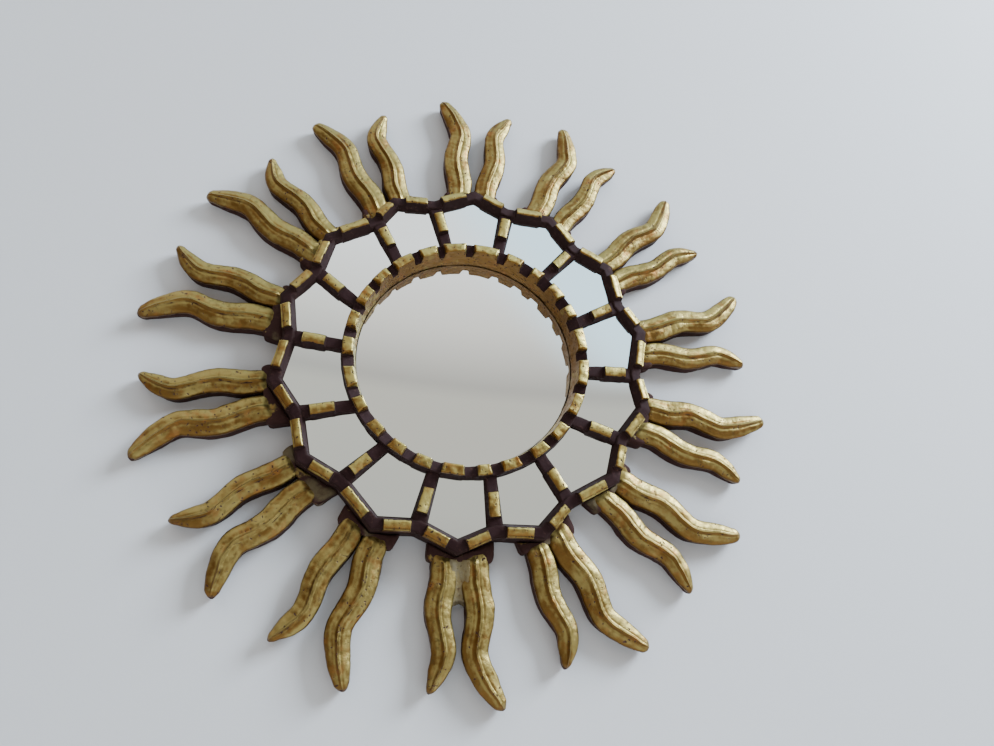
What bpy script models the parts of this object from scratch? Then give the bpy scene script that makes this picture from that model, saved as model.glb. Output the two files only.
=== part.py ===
"""Carved and gilded sunburst wall mirror.

The wall is the plane Y = 0 and the mirror faces -Y, with +X to the right and +Z up.
A plan point is (across, up) in that front view, a depth is a distance out from the wall,
and a bearing is an angle clockwise from straight up. All lengths are in metres.
"""

import math

import bmesh
import bpy
import numpy as np

# Board behind everything
BOARD_THICKNESS = 0.0146
BOARD_INSET = 0.0010
SPOKE_ROOT_DEPTH = 0.0017
WELL_FLOOR = 0.0070

# Raised ring around the centre mirror, whose crest runs from the inner to the outer radius
RING_INNER_RADIUS = 0.0722
RING_CREST_WIDTH = 0.0062
RING_INNER_LEAN = 0.0016
RING_OUTER_LEAN = 0.0013
RING_MIRROR_RADIUS = RING_INNER_RADIUS - RING_INNER_LEAN
RING_OUTER_RADIUS = RING_INNER_RADIUS + RING_CREST_WIDTH
RING_FOOT_RADIUS = RING_OUTER_RADIUS + RING_OUTER_LEAN
RING_HEIGHT = 0.0270
RING_OUTER_DROP = 0.0008
RING_NOTCH_SLOPE_ANGLE = 0.5
RING_NOTCH_OUTER_DEPTH = 0.0028
RING_NOTCH_INNER_DEPTH = 0.0068
WELL_INSET = 0.0028
WELL_RADIUS = RING_INNER_RADIUS + WELL_INSET
# Each notch's bearing and the half angle of its floor
RING_NOTCHES = (
    (17, 1.7), (31, 2.4), (43, 2.5), (57, 2.1), (69.5, 2.8), (87, 2.1), (105, 2.3), (122, 2.8),
    (136.5, 2.1), (151, 2.8), (166, 2.3), (178, 2.6), (194, 2.1), (207.5, 2.3), (220.5, 2.1),
    (234, 2.6), (247, 2.1), (263, 2.5), (277, 2.1), (290.5, 1.8), (304.5, 1.6), (317.5, 1.6),
    (332, 1.6), (345, 1.3), (0, 1.7),
)

# Rim of straight bars, two to a panel, that meet at an outward peak
JUNCTION_RADIUS = 0.1100
PEAK_RISE = 0.0083
PEAK_RADIUS = JUNCTION_RADIUS + PEAK_RISE
RIM_HEIGHT = 0.0252
RIM_OUTER_DROP = 0.0016
RIM_NOTCH_DEPTH = 0.0034
RIM_FOOT_INSET = 0.0041
RIM_CREST_INSET = 0.0002
RIM_CREST_OUTSET = 0.0047
RIM_WALL_OFFSET = 0.0055
RIM_LAND_START = 0.19
RIM_LAND_END = 0.80
RIM_LAND_SLOPE = 0.0008

# Spokes from the ring to the rim's junctions
SPOKE_HEIGHT = 0.0245
SPOKE_BARE_HEIGHT = 0.0210
SPOKE_HALF_WIDTH_TOP = 0.0031
SPOKE_FOOT_HALF_WIDTH_INNER = 0.0043
SPOKE_FOOT_HALF_WIDTH_OUTER = 0.0059
SPOKE_INNER_BARE_LENGTH = 0.0106
SPOKE_OUTER_BARE_LENGTH = 0.0055
SPOKE_LAND_SLOPE = 0.0008

# Rays
RAY_LENGTH = 0.0800
ROOT_REACH = 0.0077
RAY_ROOT_OVERLAP = 0.0012
RAY_ROOT_GAP = 0.0008
RAY_BACK_DEPTH = 0.0006
RAY_EDGE_HEIGHT = 0.0105
RAY_RIB_HEIGHT = 0.0140
LONG_RAY_WIDTH = 0.0176
SHORT_RAY_WIDTH = 0.0160
RAY_WAVE = 0.0016
RAY_WAVE_LENGTH = 0.0440
RAY_WAVE_START = 0.0080
LONG_HOOK_START = 0.61
SHORT_HOOK_START = 0.70
RAY_HOOK_POWER = 1.9
RAY_TANGENT_STEP = 0.0005
RAY_TIP_BACK_SHARE = 0.55
RAY_UNDERCUT_POWER = 3.0
ROOT_BLOCK_THICKNESS = 0.0112
ROOT_BLOCK_REACH = 0.0015
ROOT_BLOCK_MARGIN = 0.0007

# Along each ray: the share of its length, of its full width and of its full height
RAY_STATIONS = (
    (0.03, 0.90, 1.00),
    (0.17, 1.00, 1.00),
    (0.31, 0.99, 1.00),
    (0.44, 0.95, 1.00),
    (0.57, 0.89, 1.00),
    (0.69, 0.88, 0.98),
    (0.80, 0.82, 0.95),
    (0.90, 0.68, 0.88),
    (0.965, 0.49, 0.81),
    (1.00, 0.24, 0.72),
)
RAY_ROOT_WIDTH_SHARE = 0.86
RAY_ROOT_HEIGHT_SHARE = 0.74

# Across each ray: the share of the half width and of the rise from the edge to the rib
RAY_SECTION = (
    (-1.00, 0.00),
    (-0.55, 0.50),
    (-0.22, 0.46),
    (0.00, 1.00),
    (0.22, 0.46),
    (0.55, 0.50),
    (1.00, 0.00),
)

# Web between the roots of one pair
WEB_PAIR = 7
WEB_REACH = 0.0285
WEB_INSET = 0.0034
WEB_THICKNESS = 0.0120
WEB_BACK_DEPTH = 0.0012

# Glass
CENTRE_GLASS_THICKNESS = 0.0027
PANEL_GLASS_THICKNESS = 0.0027
PANEL_ARC_STEPS = 3
CLEARANCE = 0.0003
CENTRE_GLASS_CLEARANCE = 0.0006

# The hand-cut layout, clockwise from the top right. Each panel has the bearings of its first
# spoke's foot at the ring, of the junction where that spoke meets the rim, and of the rim's peak.
# Each of its rays has its root's distance to the right of the peak's line, its lean to the right
# in degrees, its length, how far its tip curls outward, and how far its root reaches to the rim,
# from 0 for a root on the block to 1 for one at the rim. Its lengths are shares of RAY_LENGTH.
PANELS = (
    (14.5, 13.5, 28.0, (-0.162, 0.0, 1.000, 0.206, 1.0), (0.119, 4.5, 0.894, 0.094, 1.0)),
    (40.0, 41.0, 53.5, (-0.100, -2.5, 0.988, 0.162, 1.0), (0.137, 7.5, 0.887, 0.044, 1.0)),
    (68.5, 67.0, 78.0, (-0.075, -1.0, 1.006, 0.188, 1.0), (0.169, 9.0, 0.887, 0.081, 1.0)),
    (94.0, 93.0, 104.0, (-0.087, -2.0, 1.031, 0.162, 1.0), (0.156, 7.0, 0.894, 0.056, 1.0)),
    (120.0, 117.0, 129.0, (-0.087, -6.0, 1.050, 0.194, 1.0), (0.156, 1.5, 0.950, 0.081, 1.0)),
    (144.0, 145.0, 157.0, (-0.162, -6.5, 1.025, 0.181, 1.0), (0.069, 3.0, 0.881, 0.087, 0.1)),
    (169.0, 170.5, 182.0, (-0.169, -2.5, 1.019, 0.200, 0.4), (0.106, -3.5, 0.919, 0.087, 0.4)),
    (194.5, 194.5, 206.5, (-0.087, -6.5, 1.019, 0.181, 0.1), (0.150, 0.0, 0.938, 0.100, 0.3)),
    (219.0, 221.5, 234.0, (-0.213, -4.0, 0.956, 0.200, 0.1), (0.050, 0.5, 0.919, 0.106, 0.3)),
    (242.0, 247.0, 259.0, (-0.194, -3.0, 1.006, 0.175, 0.2), (0.062, 2.0, 0.912, 0.144, 0.1)),
    (271.5, 273.0, 286.0, (-0.213, -5.5, 0.975, 0.175, 0.1), (0.037, 0.0, 0.919, 0.144, 0.4)),
    (293.5, 297.5, 310.0, (-0.169, -4.0, 0.988, 0.144, 0.8), (0.075, 4.5, 0.894, 0.125, 0.9)),
    (323.5, 326.0, 335.0, (-0.162, -3.0, 0.994, 0.137, 1.0), (0.100, 3.5, 0.906, 0.156, 1.0)),
    (349.0, 347.5, 361.5, (-0.137, -1.5, 1.012, 0.169, 1.0), (0.125, 6.5, 0.931, 0.106, 1.0)),
)
ROUND_STEPS = 72

# Materials: the colour, the roughness and the metallic share
CARVED_LOOK = ((0.30, 0.20, 0.08), 0.45, 0.6)
GILDED_LOOK = ((0.50, 0.36, 0.14), 0.38, 0.8)
ROUND_GLASS_LOOK = ((0.78, 0.79, 0.77), 0.03, 1.0)
PANEL_GLASS_LOOK = ((0.74, 0.77, 0.77), 0.05, 1.0)


def plan_point(radius, bearing):
    """The plan point at a radius and a bearing."""
    angle = math.radians(bearing)
    return np.array([radius * math.sin(angle), radius * math.cos(angle)])


def solid_point(plan, depth):
    """The point in space over a plan point, a depth out from the wall."""
    return (plan[0], -depth, plan[1])


def blend(start, end, share):
    """The value a share of the way from start to end."""
    return start + (end - start) * share


def outward(start, end):
    """The unit vector to the left of a line, which is away from the centre on the clockwise rim."""
    along = (end - start) / np.linalg.norm(end - start)
    return np.array([-along[1], along[0]])


def offset_line(start, end, offset):
    """The line moved outward by an offset."""
    shift = outward(start, end) * offset
    return start + shift, end + shift


def meet(first, second):
    """The plan point where two lines cross."""
    first_way = first[1] - first[0]
    second_way = second[1] - second[0]
    ways = np.array([first_way, -second_way]).T
    share = np.linalg.solve(ways, second[0] - first[0])[0]
    return first[0] + first_way * share


def rim_corners():
    """The rim's centreline corners in clockwise order, from each panel's junction to its peak."""
    corners = []
    for _, junction, peak, _, _ in PANELS:
        corners.append(plan_point(JUNCTION_RADIUS, junction))
        corners.append(plan_point(PEAK_RADIUS, peak))
    return corners


def rim_corner(index, offset):
    """One corner of the rim after every bar is moved outward by an offset."""
    corners = rim_corners()
    count = len(corners)
    before = offset_line(corners[(index - 1) % count], corners[index % count], offset)
    after = offset_line(corners[index % count], corners[(index + 1) % count], offset)
    return meet(before, after)


def rim_inner_offset(depth):
    """The rim's sloping inner wall at a depth, as an offset from the centreline."""
    share = (RIM_HEIGHT - depth) / (RIM_HEIGHT - BOARD_THICKNESS)
    return -blend(RIM_CREST_INSET, RIM_FOOT_INSET, share)


def ring_outer_radius(depth):
    """The ring's sloping outer wall at a depth."""
    share = (depth - BOARD_THICKNESS) / (RING_HEIGHT - BOARD_THICKNESS)
    return blend(RING_FOOT_RADIUS, RING_OUTER_RADIUS, share)


def ring_inner_radius(depth):
    """The ring's sloping inner wall at a depth."""
    share = (depth - WELL_FLOOR) / (RING_HEIGHT - WELL_FLOOR)
    return blend(RING_MIRROR_RADIUS, RING_INNER_RADIUS, share)


def spoke_wall_point(index, side, radius, depth, gap):
    """The plan point on one side wall of a panel's first spoke, a gap out from the wall.

    The spoke runs straight from the ring to the junction, which need not be in line with the centre.
    """
    foot = plan_point(RING_OUTER_RADIUS, PANELS[index][0])
    junction = plan_point(JUNCTION_RADIUS, PANELS[index][1])
    reach = (radius - RING_OUTER_RADIUS) / (JUNCTION_RADIUS - RING_OUTER_RADIUS)
    foot_half_width = blend(SPOKE_FOOT_HALF_WIDTH_INNER, SPOKE_FOOT_HALF_WIDTH_OUTER, reach)
    share = (depth - BOARD_THICKNESS) / (SPOKE_HEIGHT - BOARD_THICKNESS)
    half_width = blend(foot_half_width, SPOKE_HALF_WIDTH_TOP, share) + gap
    return blend(foot, junction, reach) - outward(foot, junction) * side * half_width


def add_object(name, mesh, material):
    """Adds a mesh to the scene as a named object with one material."""
    mesh.materials.clear()
    mesh.materials.append(material)
    piece = bpy.data.objects.new(name, mesh)
    bpy.context.collection.objects.link(piece)
    return piece


def loft(name, loops, material, ends_meet=False):
    """Skins closed loops of points into a solid, with flat ends unless the ends meet."""
    loops = np.asarray(loops, dtype=float)
    count, width, _ = loops.shape
    spans = count if ends_meet else count - 1
    faces = []
    for row in range(spans):
        near = row * width
        far = ((row + 1) % count) * width
        for column in range(width):
            following = (column + 1) % width
            faces.append((near + column, near + following, far + following, far + column))
    if not ends_meet:
        faces.append(tuple(range(width)))
        faces.append(tuple(range((count - 1) * width, count * width)))
    mesh = bpy.data.meshes.new(name)
    mesh.from_pydata(loops.reshape(-1, 3).tolist(), [], faces)
    shape = bmesh.new()
    shape.from_mesh(mesh)
    bmesh.ops.recalc_face_normals(shape, faces=shape.faces)
    quads = [face for face in shape.faces if len(face.verts) == 4]
    bmesh.ops.triangulate(shape, faces=quads)
    shape.to_mesh(mesh)
    shape.free()
    return add_object(name, mesh, material)


def prism(name, outline, low, high, material):
    """A solid over a plan outline between two depths."""
    loops = [[solid_point(point, depth) for point in outline] for depth in (low, high)]
    return loft(name, loops, material)


def fuse(name, bodies, material):
    """Joins overlapping bodies to one solid with Boolean unions."""
    whole = bodies[0]
    for body in bodies[1:]:
        union = whole.modifiers.new("union", "BOOLEAN")
        union.operation = "UNION"
        union.solver = "EXACT"
        union.object = body
    depsgraph = bpy.context.evaluated_depsgraph_get()
    mesh = bpy.data.meshes.new_from_object(whole.evaluated_get(depsgraph))
    mesh.name = name
    for body in bodies:
        bpy.data.objects.remove(body)
    return add_object(name, mesh, material)


def make_material(name, colour, roughness, metallic):
    """A Principled material with one colour."""
    material = bpy.data.materials.new(name)
    material.use_nodes = True
    shader = material.node_tree.nodes["Principled BSDF"]
    shader.inputs["Base Color"].default_value = (*colour, 1.0)
    shader.inputs["Roughness"].default_value = roughness
    shader.inputs["Metallic"].default_value = metallic
    material.diffuse_color = (*colour, 1.0)
    return material


def make_board(material):
    """The board, cut to the rim's outline, with a round well for the centre mirror."""
    count = 2 * len(PANELS)
    edge = [rim_corner(index, RIM_WALL_OFFSET - BOARD_INSET) for index in range(count)]
    bearings = [math.degrees(math.atan2(point[0], point[1])) for point in edge]
    well = [plan_point(WELL_RADIUS, bearing) for bearing in bearings]
    loops = [
        [solid_point(point, 0.0) for point in edge],
        [solid_point(point, BOARD_THICKNESS) for point in edge],
        [solid_point(point, BOARD_THICKNESS) for point in well],
        [solid_point(point, WELL_FLOOR) for point in well],
    ]
    return loft("board", loops, material)


def rim_section(centre_at, notched):
    """The rim's cross-section, where centre_at gives the plan point at an offset."""
    drop = RIM_NOTCH_DEPTH if notched else 0.0
    inner_depth = RIM_HEIGHT - drop
    outer_depth = RIM_HEIGHT - RIM_OUTER_DROP - drop
    buried = BOARD_THICKNESS - BOARD_INSET
    return [
        solid_point(centre_at(RIM_WALL_OFFSET), BOARD_INSET),
        solid_point(centre_at(RIM_WALL_OFFSET), outer_depth - BOARD_INSET),
        solid_point(centre_at(RIM_CREST_OUTSET), outer_depth),
        solid_point(centre_at(rim_inner_offset(inner_depth)), inner_depth),
        solid_point(centre_at(rim_inner_offset(buried)), buried),
        solid_point(centre_at(0.0), BOARD_INSET),
    ]


def make_rim(material):
    """The closed band of rim bars, each with one raised land between low notches."""
    corners = rim_corners()
    count = len(corners)
    sections = []
    for index, corner in enumerate(corners):
        following = corners[(index + 1) % count]
        length = np.linalg.norm(following - corner)
        slope = RIM_LAND_SLOPE / length
        starts_at_junction = index % 2 == 0
        start = RIM_LAND_START if starts_at_junction else 1.0 - RIM_LAND_END
        end = RIM_LAND_END if starts_at_junction else 1.0 - RIM_LAND_START
        way = outward(corner, following)
        sections.append(rim_section(lambda offset: rim_corner(index, offset), True))
        for share, notched in ((start, True), (start + slope, False), (end - slope, False), (end, True)):
            centre = blend(corner, following, share)
            sections.append(rim_section(lambda offset: centre + way * offset, notched))
    return loft("rim", sections, material, ends_meet=True)


def ring_section(bearing, notched):
    """The ring's cross-section at a bearing."""
    outer_depth = RING_HEIGHT - RING_OUTER_DROP - (RING_NOTCH_OUTER_DEPTH if notched else 0.0)
    inner_depth = RING_HEIGHT - (RING_NOTCH_INNER_DEPTH if notched else 0.0)
    buried = WELL_FLOOR - BOARD_INSET
    profile = (
        (ring_outer_radius(buried), buried),
        (ring_outer_radius(outer_depth), outer_depth),
        (ring_inner_radius(inner_depth), inner_depth),
        (ring_inner_radius(buried), buried),
    )
    return [solid_point(plan_point(radius, bearing), depth) for radius, depth in profile]


def make_ring(material):
    """The raised ring, notched around its crest."""
    sections = []
    for bearing, half_angle in sorted(RING_NOTCHES):
        for side in (-1.0, 1.0):
            floor = bearing + side * half_angle
            crest = floor + side * RING_NOTCH_SLOPE_ANGLE
            pair = [ring_section(crest, False), ring_section(floor, True)]
            sections.extend(pair if side < 0.0 else pair[::-1])
    return loft("ring", sections, material, ends_meet=True)


def spoke_section(index, radius, height):
    """A spoke's cross-section, wider at the foot than at the top."""
    buried = BOARD_THICKNESS - SPOKE_ROOT_DEPTH
    section = []
    for side, depth in ((-1.0, buried), (-1.0, height), (1.0, height), (1.0, buried)):
        section.append(solid_point(spoke_wall_point(index, side, radius, depth, 0.0), depth))
    return section


def make_spoke(index, material):
    """One spoke with its raised land."""
    low = SPOKE_BARE_HEIGHT
    end_height = RIM_HEIGHT - RIM_NOTCH_DEPTH - RIM_OUTER_DROP
    start = RING_OUTER_RADIUS + SPOKE_INNER_BARE_LENGTH
    end = JUNCTION_RADIUS - SPOKE_OUTER_BARE_LENGTH
    stations = (
        ((RING_INNER_RADIUS + RING_OUTER_RADIUS) / 2.0, low),
        (start, low),
        (start + SPOKE_LAND_SLOPE, SPOKE_HEIGHT),
        (end - SPOKE_LAND_SLOPE, SPOKE_HEIGHT),
        (end, low),
        (JUNCTION_RADIUS, end_height),
    )
    return loft("spoke", [spoke_section(index, radius, height) for radius, height in stations], material)


def make_frame(material):
    """The carved frame: board, ring, rim and spokes in one solid."""
    bodies = [make_board(material), make_ring(material), make_rim(material)]
    bodies.extend(make_spoke(index, material) for index in range(len(PANELS)))
    return fuse("frame", bodies, material)


def ray_curl(distance, length, hook, side):
    """How far outward the ray's centreline lies: a wave that dies out as the tip curls away."""
    hook_start = (LONG_HOOK_START if side < 0.0 else SHORT_HOOK_START) * length
    share = max(0.0, (distance - hook_start) / (length - hook_start))
    turn = max(0.0, distance - RAY_WAVE_START) / RAY_WAVE_LENGTH
    wave = -RAY_WAVE * math.cos(2.0 * math.pi * turn)
    return wave * (1.0 - share) + hook * share ** RAY_HOOK_POWER


def ray_length(ray):
    """A ray's length from its root to its tip."""
    return ray[2] * RAY_LENGTH


def ray_centre(ray, side, distance):
    """The plan point on a ray's centreline, in its pair's own frame with the peak straight up."""
    root, lean, _, hook, _ = ray
    way = plan_point(1.0, lean)
    right = plan_point(1.0, lean + 90.0)
    start = np.array([root * RAY_LENGTH, PEAK_RADIUS + ROOT_REACH])
    curl = ray_curl(distance, ray_length(ray), hook * RAY_LENGTH, side)
    return start + way * distance + right * side * curl


def ray_section(ray, side, width, distance, width_share, height_share):
    """A ray's cross-section, square to its centreline and undercut towards the tip."""
    behind = ray_centre(ray, side, distance - RAY_TANGENT_STEP)
    ahead = ray_centre(ray, side, min(distance + RAY_TANGENT_STEP, ray_length(ray)))
    right = -outward(behind, ahead)
    centre = ray_centre(ray, side, distance)
    half_width = width * width_share / 2.0
    edge = RAY_EDGE_HEIGHT * height_share
    rib = RAY_RIB_HEIGHT * height_share
    section = []
    for across, rise in RAY_SECTION:
        section.append(solid_point(centre + right * half_width * across, blend(edge, rib, rise)))
    undercut = max(0.0, distance / ray_length(ray)) ** RAY_UNDERCUT_POWER
    back_half_width = half_width * blend(1.0, RAY_TIP_BACK_SHARE, undercut)
    section.append(solid_point(centre + right * back_half_width, RAY_BACK_DEPTH))
    section.append(solid_point(centre - right * back_half_width, RAY_BACK_DEPTH))
    return section


def make_ray(index, ray, side, width, material):
    """One wavy ray with its middle rib, its root cut along the rim as far as it reaches there."""
    length = ray_length(ray)
    root = (-RAY_ROOT_OVERLAP / length, RAY_ROOT_WIDTH_SHARE, RAY_ROOT_HEIGHT_SHARE)
    sections = []
    for share, width_share, height_share in (root, *RAY_STATIONS):
        sections.append(ray_section(ray, side, width, share * length, width_share, height_share))
    sections[0] = reach_rim(sections[0], index, ray[4])
    return loft("ray", sections, material)


def turned(point, bearing):
    """A plan point as it is seen with a bearing turned straight up."""
    radius = np.linalg.norm(point)
    own = math.degrees(math.atan2(point[0], point[1]))
    return plan_point(radius, own - bearing)


def outer_wall(index, gap):
    """The rim's outer wall near one pair, a gap out from it, with the peak straight up."""
    offset = RIM_WALL_OFFSET + gap
    steps = range(-1, 4)
    return [turned(rim_corner(2 * index + step, offset), PANELS[index][2]) for step in steps]


def reach_rim(section, index, reach):
    """Moves a root's section towards the straight line that just clears the rim's outer wall."""
    across, along = np.array(outer_wall(index, RAY_ROOT_GAP)).T
    sides = [point[0] for point in section]
    left, right = min(sides), max(sides)
    low, high = np.interp([left, right], across, along)
    line = np.interp(across, [left, right], [low, high])
    inside = (across > left) & (across < right)
    rise = max(0.0, np.max(np.where(inside, along - line, 0.0)))
    moved = []
    for point in section:
        target = blend(low, high, (point[0] - left) / (right - left)) + rise
        moved.append((point[0], point[1], blend(point[2], target, reach)))
    return moved


def root_block_outline(index, long_ray, short_ray):
    """The root block's outline: the rim's outer wall on its inner side, and the rays' width."""
    walls = outer_wall(index, CLEARANCE)
    across, along = np.array(walls).T
    left = long_ray[0] * RAY_LENGTH - LONG_RAY_WIDTH / 2.0 - ROOT_BLOCK_MARGIN
    right = short_ray[0] * RAY_LENGTH + SHORT_RAY_WIDTH / 2.0 + ROOT_BLOCK_MARGIN
    outer = PEAK_RADIUS + ROOT_REACH + ROOT_BLOCK_REACH
    outline = [np.array([left, np.interp(left, across, along)])]
    outline.extend(wall for wall in walls if left < wall[0] < right)
    outline.append(np.array([right, np.interp(right, across, along)]))
    outline.append(np.array([right, outer]))
    outline.append(np.array([left, outer]))
    return outline


def web_outline(long_ray, short_ray):
    """The web's outline between a pair's two rays, an inset in from their centrelines."""
    inset = np.array([WEB_INSET, 0.0])
    return [
        ray_centre(long_ray, -1.0, 0.0) + inset,
        ray_centre(long_ray, -1.0, WEB_REACH) + inset,
        ray_centre(short_ray, 1.0, WEB_REACH) - inset,
        ray_centre(short_ray, 1.0, 0.0) - inset,
    ]


def make_ray_pair(index, material):
    """One forked ray piece, modelled with its peak straight up and then turned to its bearing."""
    _, _, peak_bearing, long_ray, short_ray = PANELS[index]
    outline = root_block_outline(index, long_ray, short_ray)
    bodies = [
        prism("block", outline, 0.0, ROOT_BLOCK_THICKNESS, material),
        make_ray(index, long_ray, -1.0, LONG_RAY_WIDTH, material),
        make_ray(index, short_ray, 1.0, SHORT_RAY_WIDTH, material),
    ]
    if index + 1 == WEB_PAIR:
        web = web_outline(long_ray, short_ray)
        bodies.append(prism("web", web, WEB_BACK_DEPTH, WEB_THICKNESS, material))
    pair = fuse(f"ray_pair_{index + 1:02d}", bodies, material)
    pair.rotation_euler = (0.0, math.radians(peak_bearing), 0.0)
    return pair


def panel_outline(index, depth):
    """A panel glass's outline at a depth, a clearance in from the walls around it."""
    following = (index + 1) % len(PANELS)
    peak_bearing = PANELS[index][2]
    offset = rim_inner_offset(depth) - CLEARANCE
    walls = [rim_corner((2 * index + step) % (2 * len(PANELS)), offset) for step in (0, 1, 2)]
    inner = ring_outer_radius(depth) + CLEARANCE
    sides = []
    for spoke, side in ((index, 1.0), (following, -1.0)):
        ends = []
        for radius in (RING_OUTER_RADIUS, JUNCTION_RADIUS):
            ends.append(spoke_wall_point(spoke, side, radius, depth, CLEARANCE))
        sides.append(ends)
    foot = []
    for ends in sides:
        start, way = ends[0], ends[1] - ends[0]
        square = way @ way
        along = start @ way
        share = (-along + math.sqrt(along ** 2 - square * (start @ start - inner ** 2))) / square
        foot.append(start + way * share)
    bearings = [math.degrees(math.atan2(point[0], point[1])) for point in foot]
    sweep = (bearings[0] - bearings[1] + 180.0) % 360.0 - 180.0
    arc = []
    for step in range(1, PANEL_ARC_STEPS):
        arc.append(plan_point(inner, bearings[1] + sweep * step / PANEL_ARC_STEPS))
    outline = [
        foot[0],
        meet(sides[0], (walls[0], walls[1])),
        walls[1],
        meet(sides[1], (walls[1], walls[2])),
        foot[1],
        *arc,
    ]
    return [turned(point, peak_bearing) for point in outline]


def make_panel_mirror(index, material):
    """One small glass on the board, its edges ground to the slope of the carved walls."""
    low = BOARD_THICKNESS + CLEARANCE
    high = low + PANEL_GLASS_THICKNESS
    loops = []
    for depth in (low, high):
        loops.append([solid_point(point, depth) for point in panel_outline(index, depth)])
    glass = loft(f"panel_mirror_{index + 1:02d}", loops, material)
    glass.rotation_euler = (0.0, math.radians(PANELS[index][2]), 0.0)
    return glass


def make_centre_mirror(material):
    """The round glass on the floor of the ring's well."""
    low = WELL_FLOOR + CLEARANCE
    high = low + CENTRE_GLASS_THICKNESS
    loops = []
    for depth in (low, high):
        radius = ring_inner_radius(depth) - CENTRE_GLASS_CLEARANCE
        circle = [plan_point(radius, 360.0 * step / ROUND_STEPS) for step in range(ROUND_STEPS)]
        loops.append([solid_point(point, depth) for point in circle])
    return loft("centre_mirror", loops, material)


def build():
    """Builds the whole mirror under one empty at the middle of its back."""
    for old in list(bpy.data.objects):
        bpy.data.objects.remove(old)
    carved = make_material("carved gilded wood", *CARVED_LOOK)
    gilded = make_material("gold leaf on wood", *GILDED_LOOK)
    round_glass = make_material("centre mirror glass", *ROUND_GLASS_LOOK)
    panel_glass = make_material("panel mirror glass", *PANEL_GLASS_LOOK)
    pieces = [make_frame(carved), make_centre_mirror(round_glass)]
    for index in range(len(PANELS)):
        pieces.append(make_panel_mirror(index, panel_glass))
        pieces.append(make_ray_pair(index, gilded))
    hanger = bpy.data.objects.new("sunburst_mirror", None)
    bpy.context.collection.objects.link(hanger)
    for piece in pieces:
        piece.parent = hanger


build()
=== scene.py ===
# %% [markdown]
# # A carved and gilded sunburst wall mirror
#
# This notebook dresses a sunburst mirror: one carved frame, fourteen forked pairs of wavy rays,
# a round glass in the middle and fourteen small glasses around it.
# A frame of plain solids comes first, because it fixes every size and place.
# Each carved piece is then worked out again as a fine surface, and each finish as a procedural material.

import bpy
import numpy as np
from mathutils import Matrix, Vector


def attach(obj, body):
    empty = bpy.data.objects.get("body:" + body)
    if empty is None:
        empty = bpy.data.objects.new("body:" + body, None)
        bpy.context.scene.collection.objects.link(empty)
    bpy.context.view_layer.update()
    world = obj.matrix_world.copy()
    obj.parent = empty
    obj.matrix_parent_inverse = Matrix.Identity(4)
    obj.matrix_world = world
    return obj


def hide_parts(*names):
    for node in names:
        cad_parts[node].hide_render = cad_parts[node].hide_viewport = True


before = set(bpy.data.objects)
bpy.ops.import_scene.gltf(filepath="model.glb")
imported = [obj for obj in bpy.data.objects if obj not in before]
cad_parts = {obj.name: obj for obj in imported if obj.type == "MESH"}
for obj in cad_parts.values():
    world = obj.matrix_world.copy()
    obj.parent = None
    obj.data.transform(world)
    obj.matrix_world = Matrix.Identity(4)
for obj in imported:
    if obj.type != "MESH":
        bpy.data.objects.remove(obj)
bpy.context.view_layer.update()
print("plain solids:", len(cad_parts))

# %% [markdown]
# ## Where everything lies
#
# The wall is the plane Y = 0 and the mirror faces -Y, with X to the right and Z up.
# A plan point is (across, up) in the front view, a depth is a distance out from the wall,
# and a bearing is an angle clockwise from straight up. Lengths are in metres.
# A carver marks such a layout with a compass and a rule, so a few radii and bearings describe it.
# The bearings differ a little from panel to panel, because the real layout was judged by eye.

# %% The layout, clockwise from the top right
# Bearings of the spoke's foot, of its junction with the rim and of the rim's peak, then the long
# and the short ray as (root, lean, length, tip curl, reach to the rim), lengths as shares of RAY_LENGTH.
PANELS = (
    (14.5, 13.5, 28.0, (-0.162, 0.0, 1.000, 0.206, 1.0), (0.119, 4.5, 0.894, 0.094, 1.0)),
    (40.0, 41.0, 53.5, (-0.100, -2.5, 0.988, 0.162, 1.0), (0.137, 7.5, 0.887, 0.044, 1.0)),
    (68.5, 67.0, 78.0, (-0.075, -1.0, 1.006, 0.188, 1.0), (0.169, 9.0, 0.887, 0.081, 1.0)),
    (94.0, 93.0, 104.0, (-0.087, -2.0, 1.031, 0.162, 1.0), (0.156, 7.0, 0.894, 0.056, 1.0)),
    (120.0, 117.0, 129.0, (-0.087, -6.0, 1.050, 0.194, 1.0), (0.156, 1.5, 0.950, 0.081, 1.0)),
    (144.0, 145.0, 157.0, (-0.162, -6.5, 1.025, 0.181, 1.0), (0.069, 3.0, 0.881, 0.087, 0.1)),
    (169.0, 170.5, 182.0, (-0.169, -2.5, 1.019, 0.200, 0.4), (0.106, -3.5, 0.919, 0.087, 0.4)),
    (194.5, 194.5, 206.5, (-0.087, -6.5, 1.019, 0.181, 0.1), (0.150, 0.0, 0.938, 0.100, 0.3)),
    (219.0, 221.5, 234.0, (-0.213, -4.0, 0.956, 0.200, 0.1), (0.050, 0.5, 0.919, 0.106, 0.3)),
    (242.0, 247.0, 259.0, (-0.194, -3.0, 1.006, 0.175, 0.2), (0.062, 2.0, 0.912, 0.144, 0.1)),
    (271.5, 273.0, 286.0, (-0.213, -5.5, 0.975, 0.175, 0.1), (0.037, 0.0, 0.919, 0.144, 0.4)),
    (293.5, 297.5, 310.0, (-0.169, -4.0, 0.988, 0.144, 0.8), (0.075, 4.5, 0.894, 0.125, 0.9)),
    (323.5, 326.0, 335.0, (-0.162, -3.0, 0.994, 0.137, 1.0), (0.100, 3.5, 0.906, 0.156, 1.0)),
    (349.0, 347.5, 361.5, (-0.137, -1.5, 1.012, 0.169, 1.0), (0.125, 6.5, 0.931, 0.106, 1.0)),
)
RAY_LENGTH = 0.0800
JUNCTION_RADIUS = 0.1100
PEAK_RADIUS = 0.1183
BOARD_THICKNESS = 0.0146
BURIED = 0.0010


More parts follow.
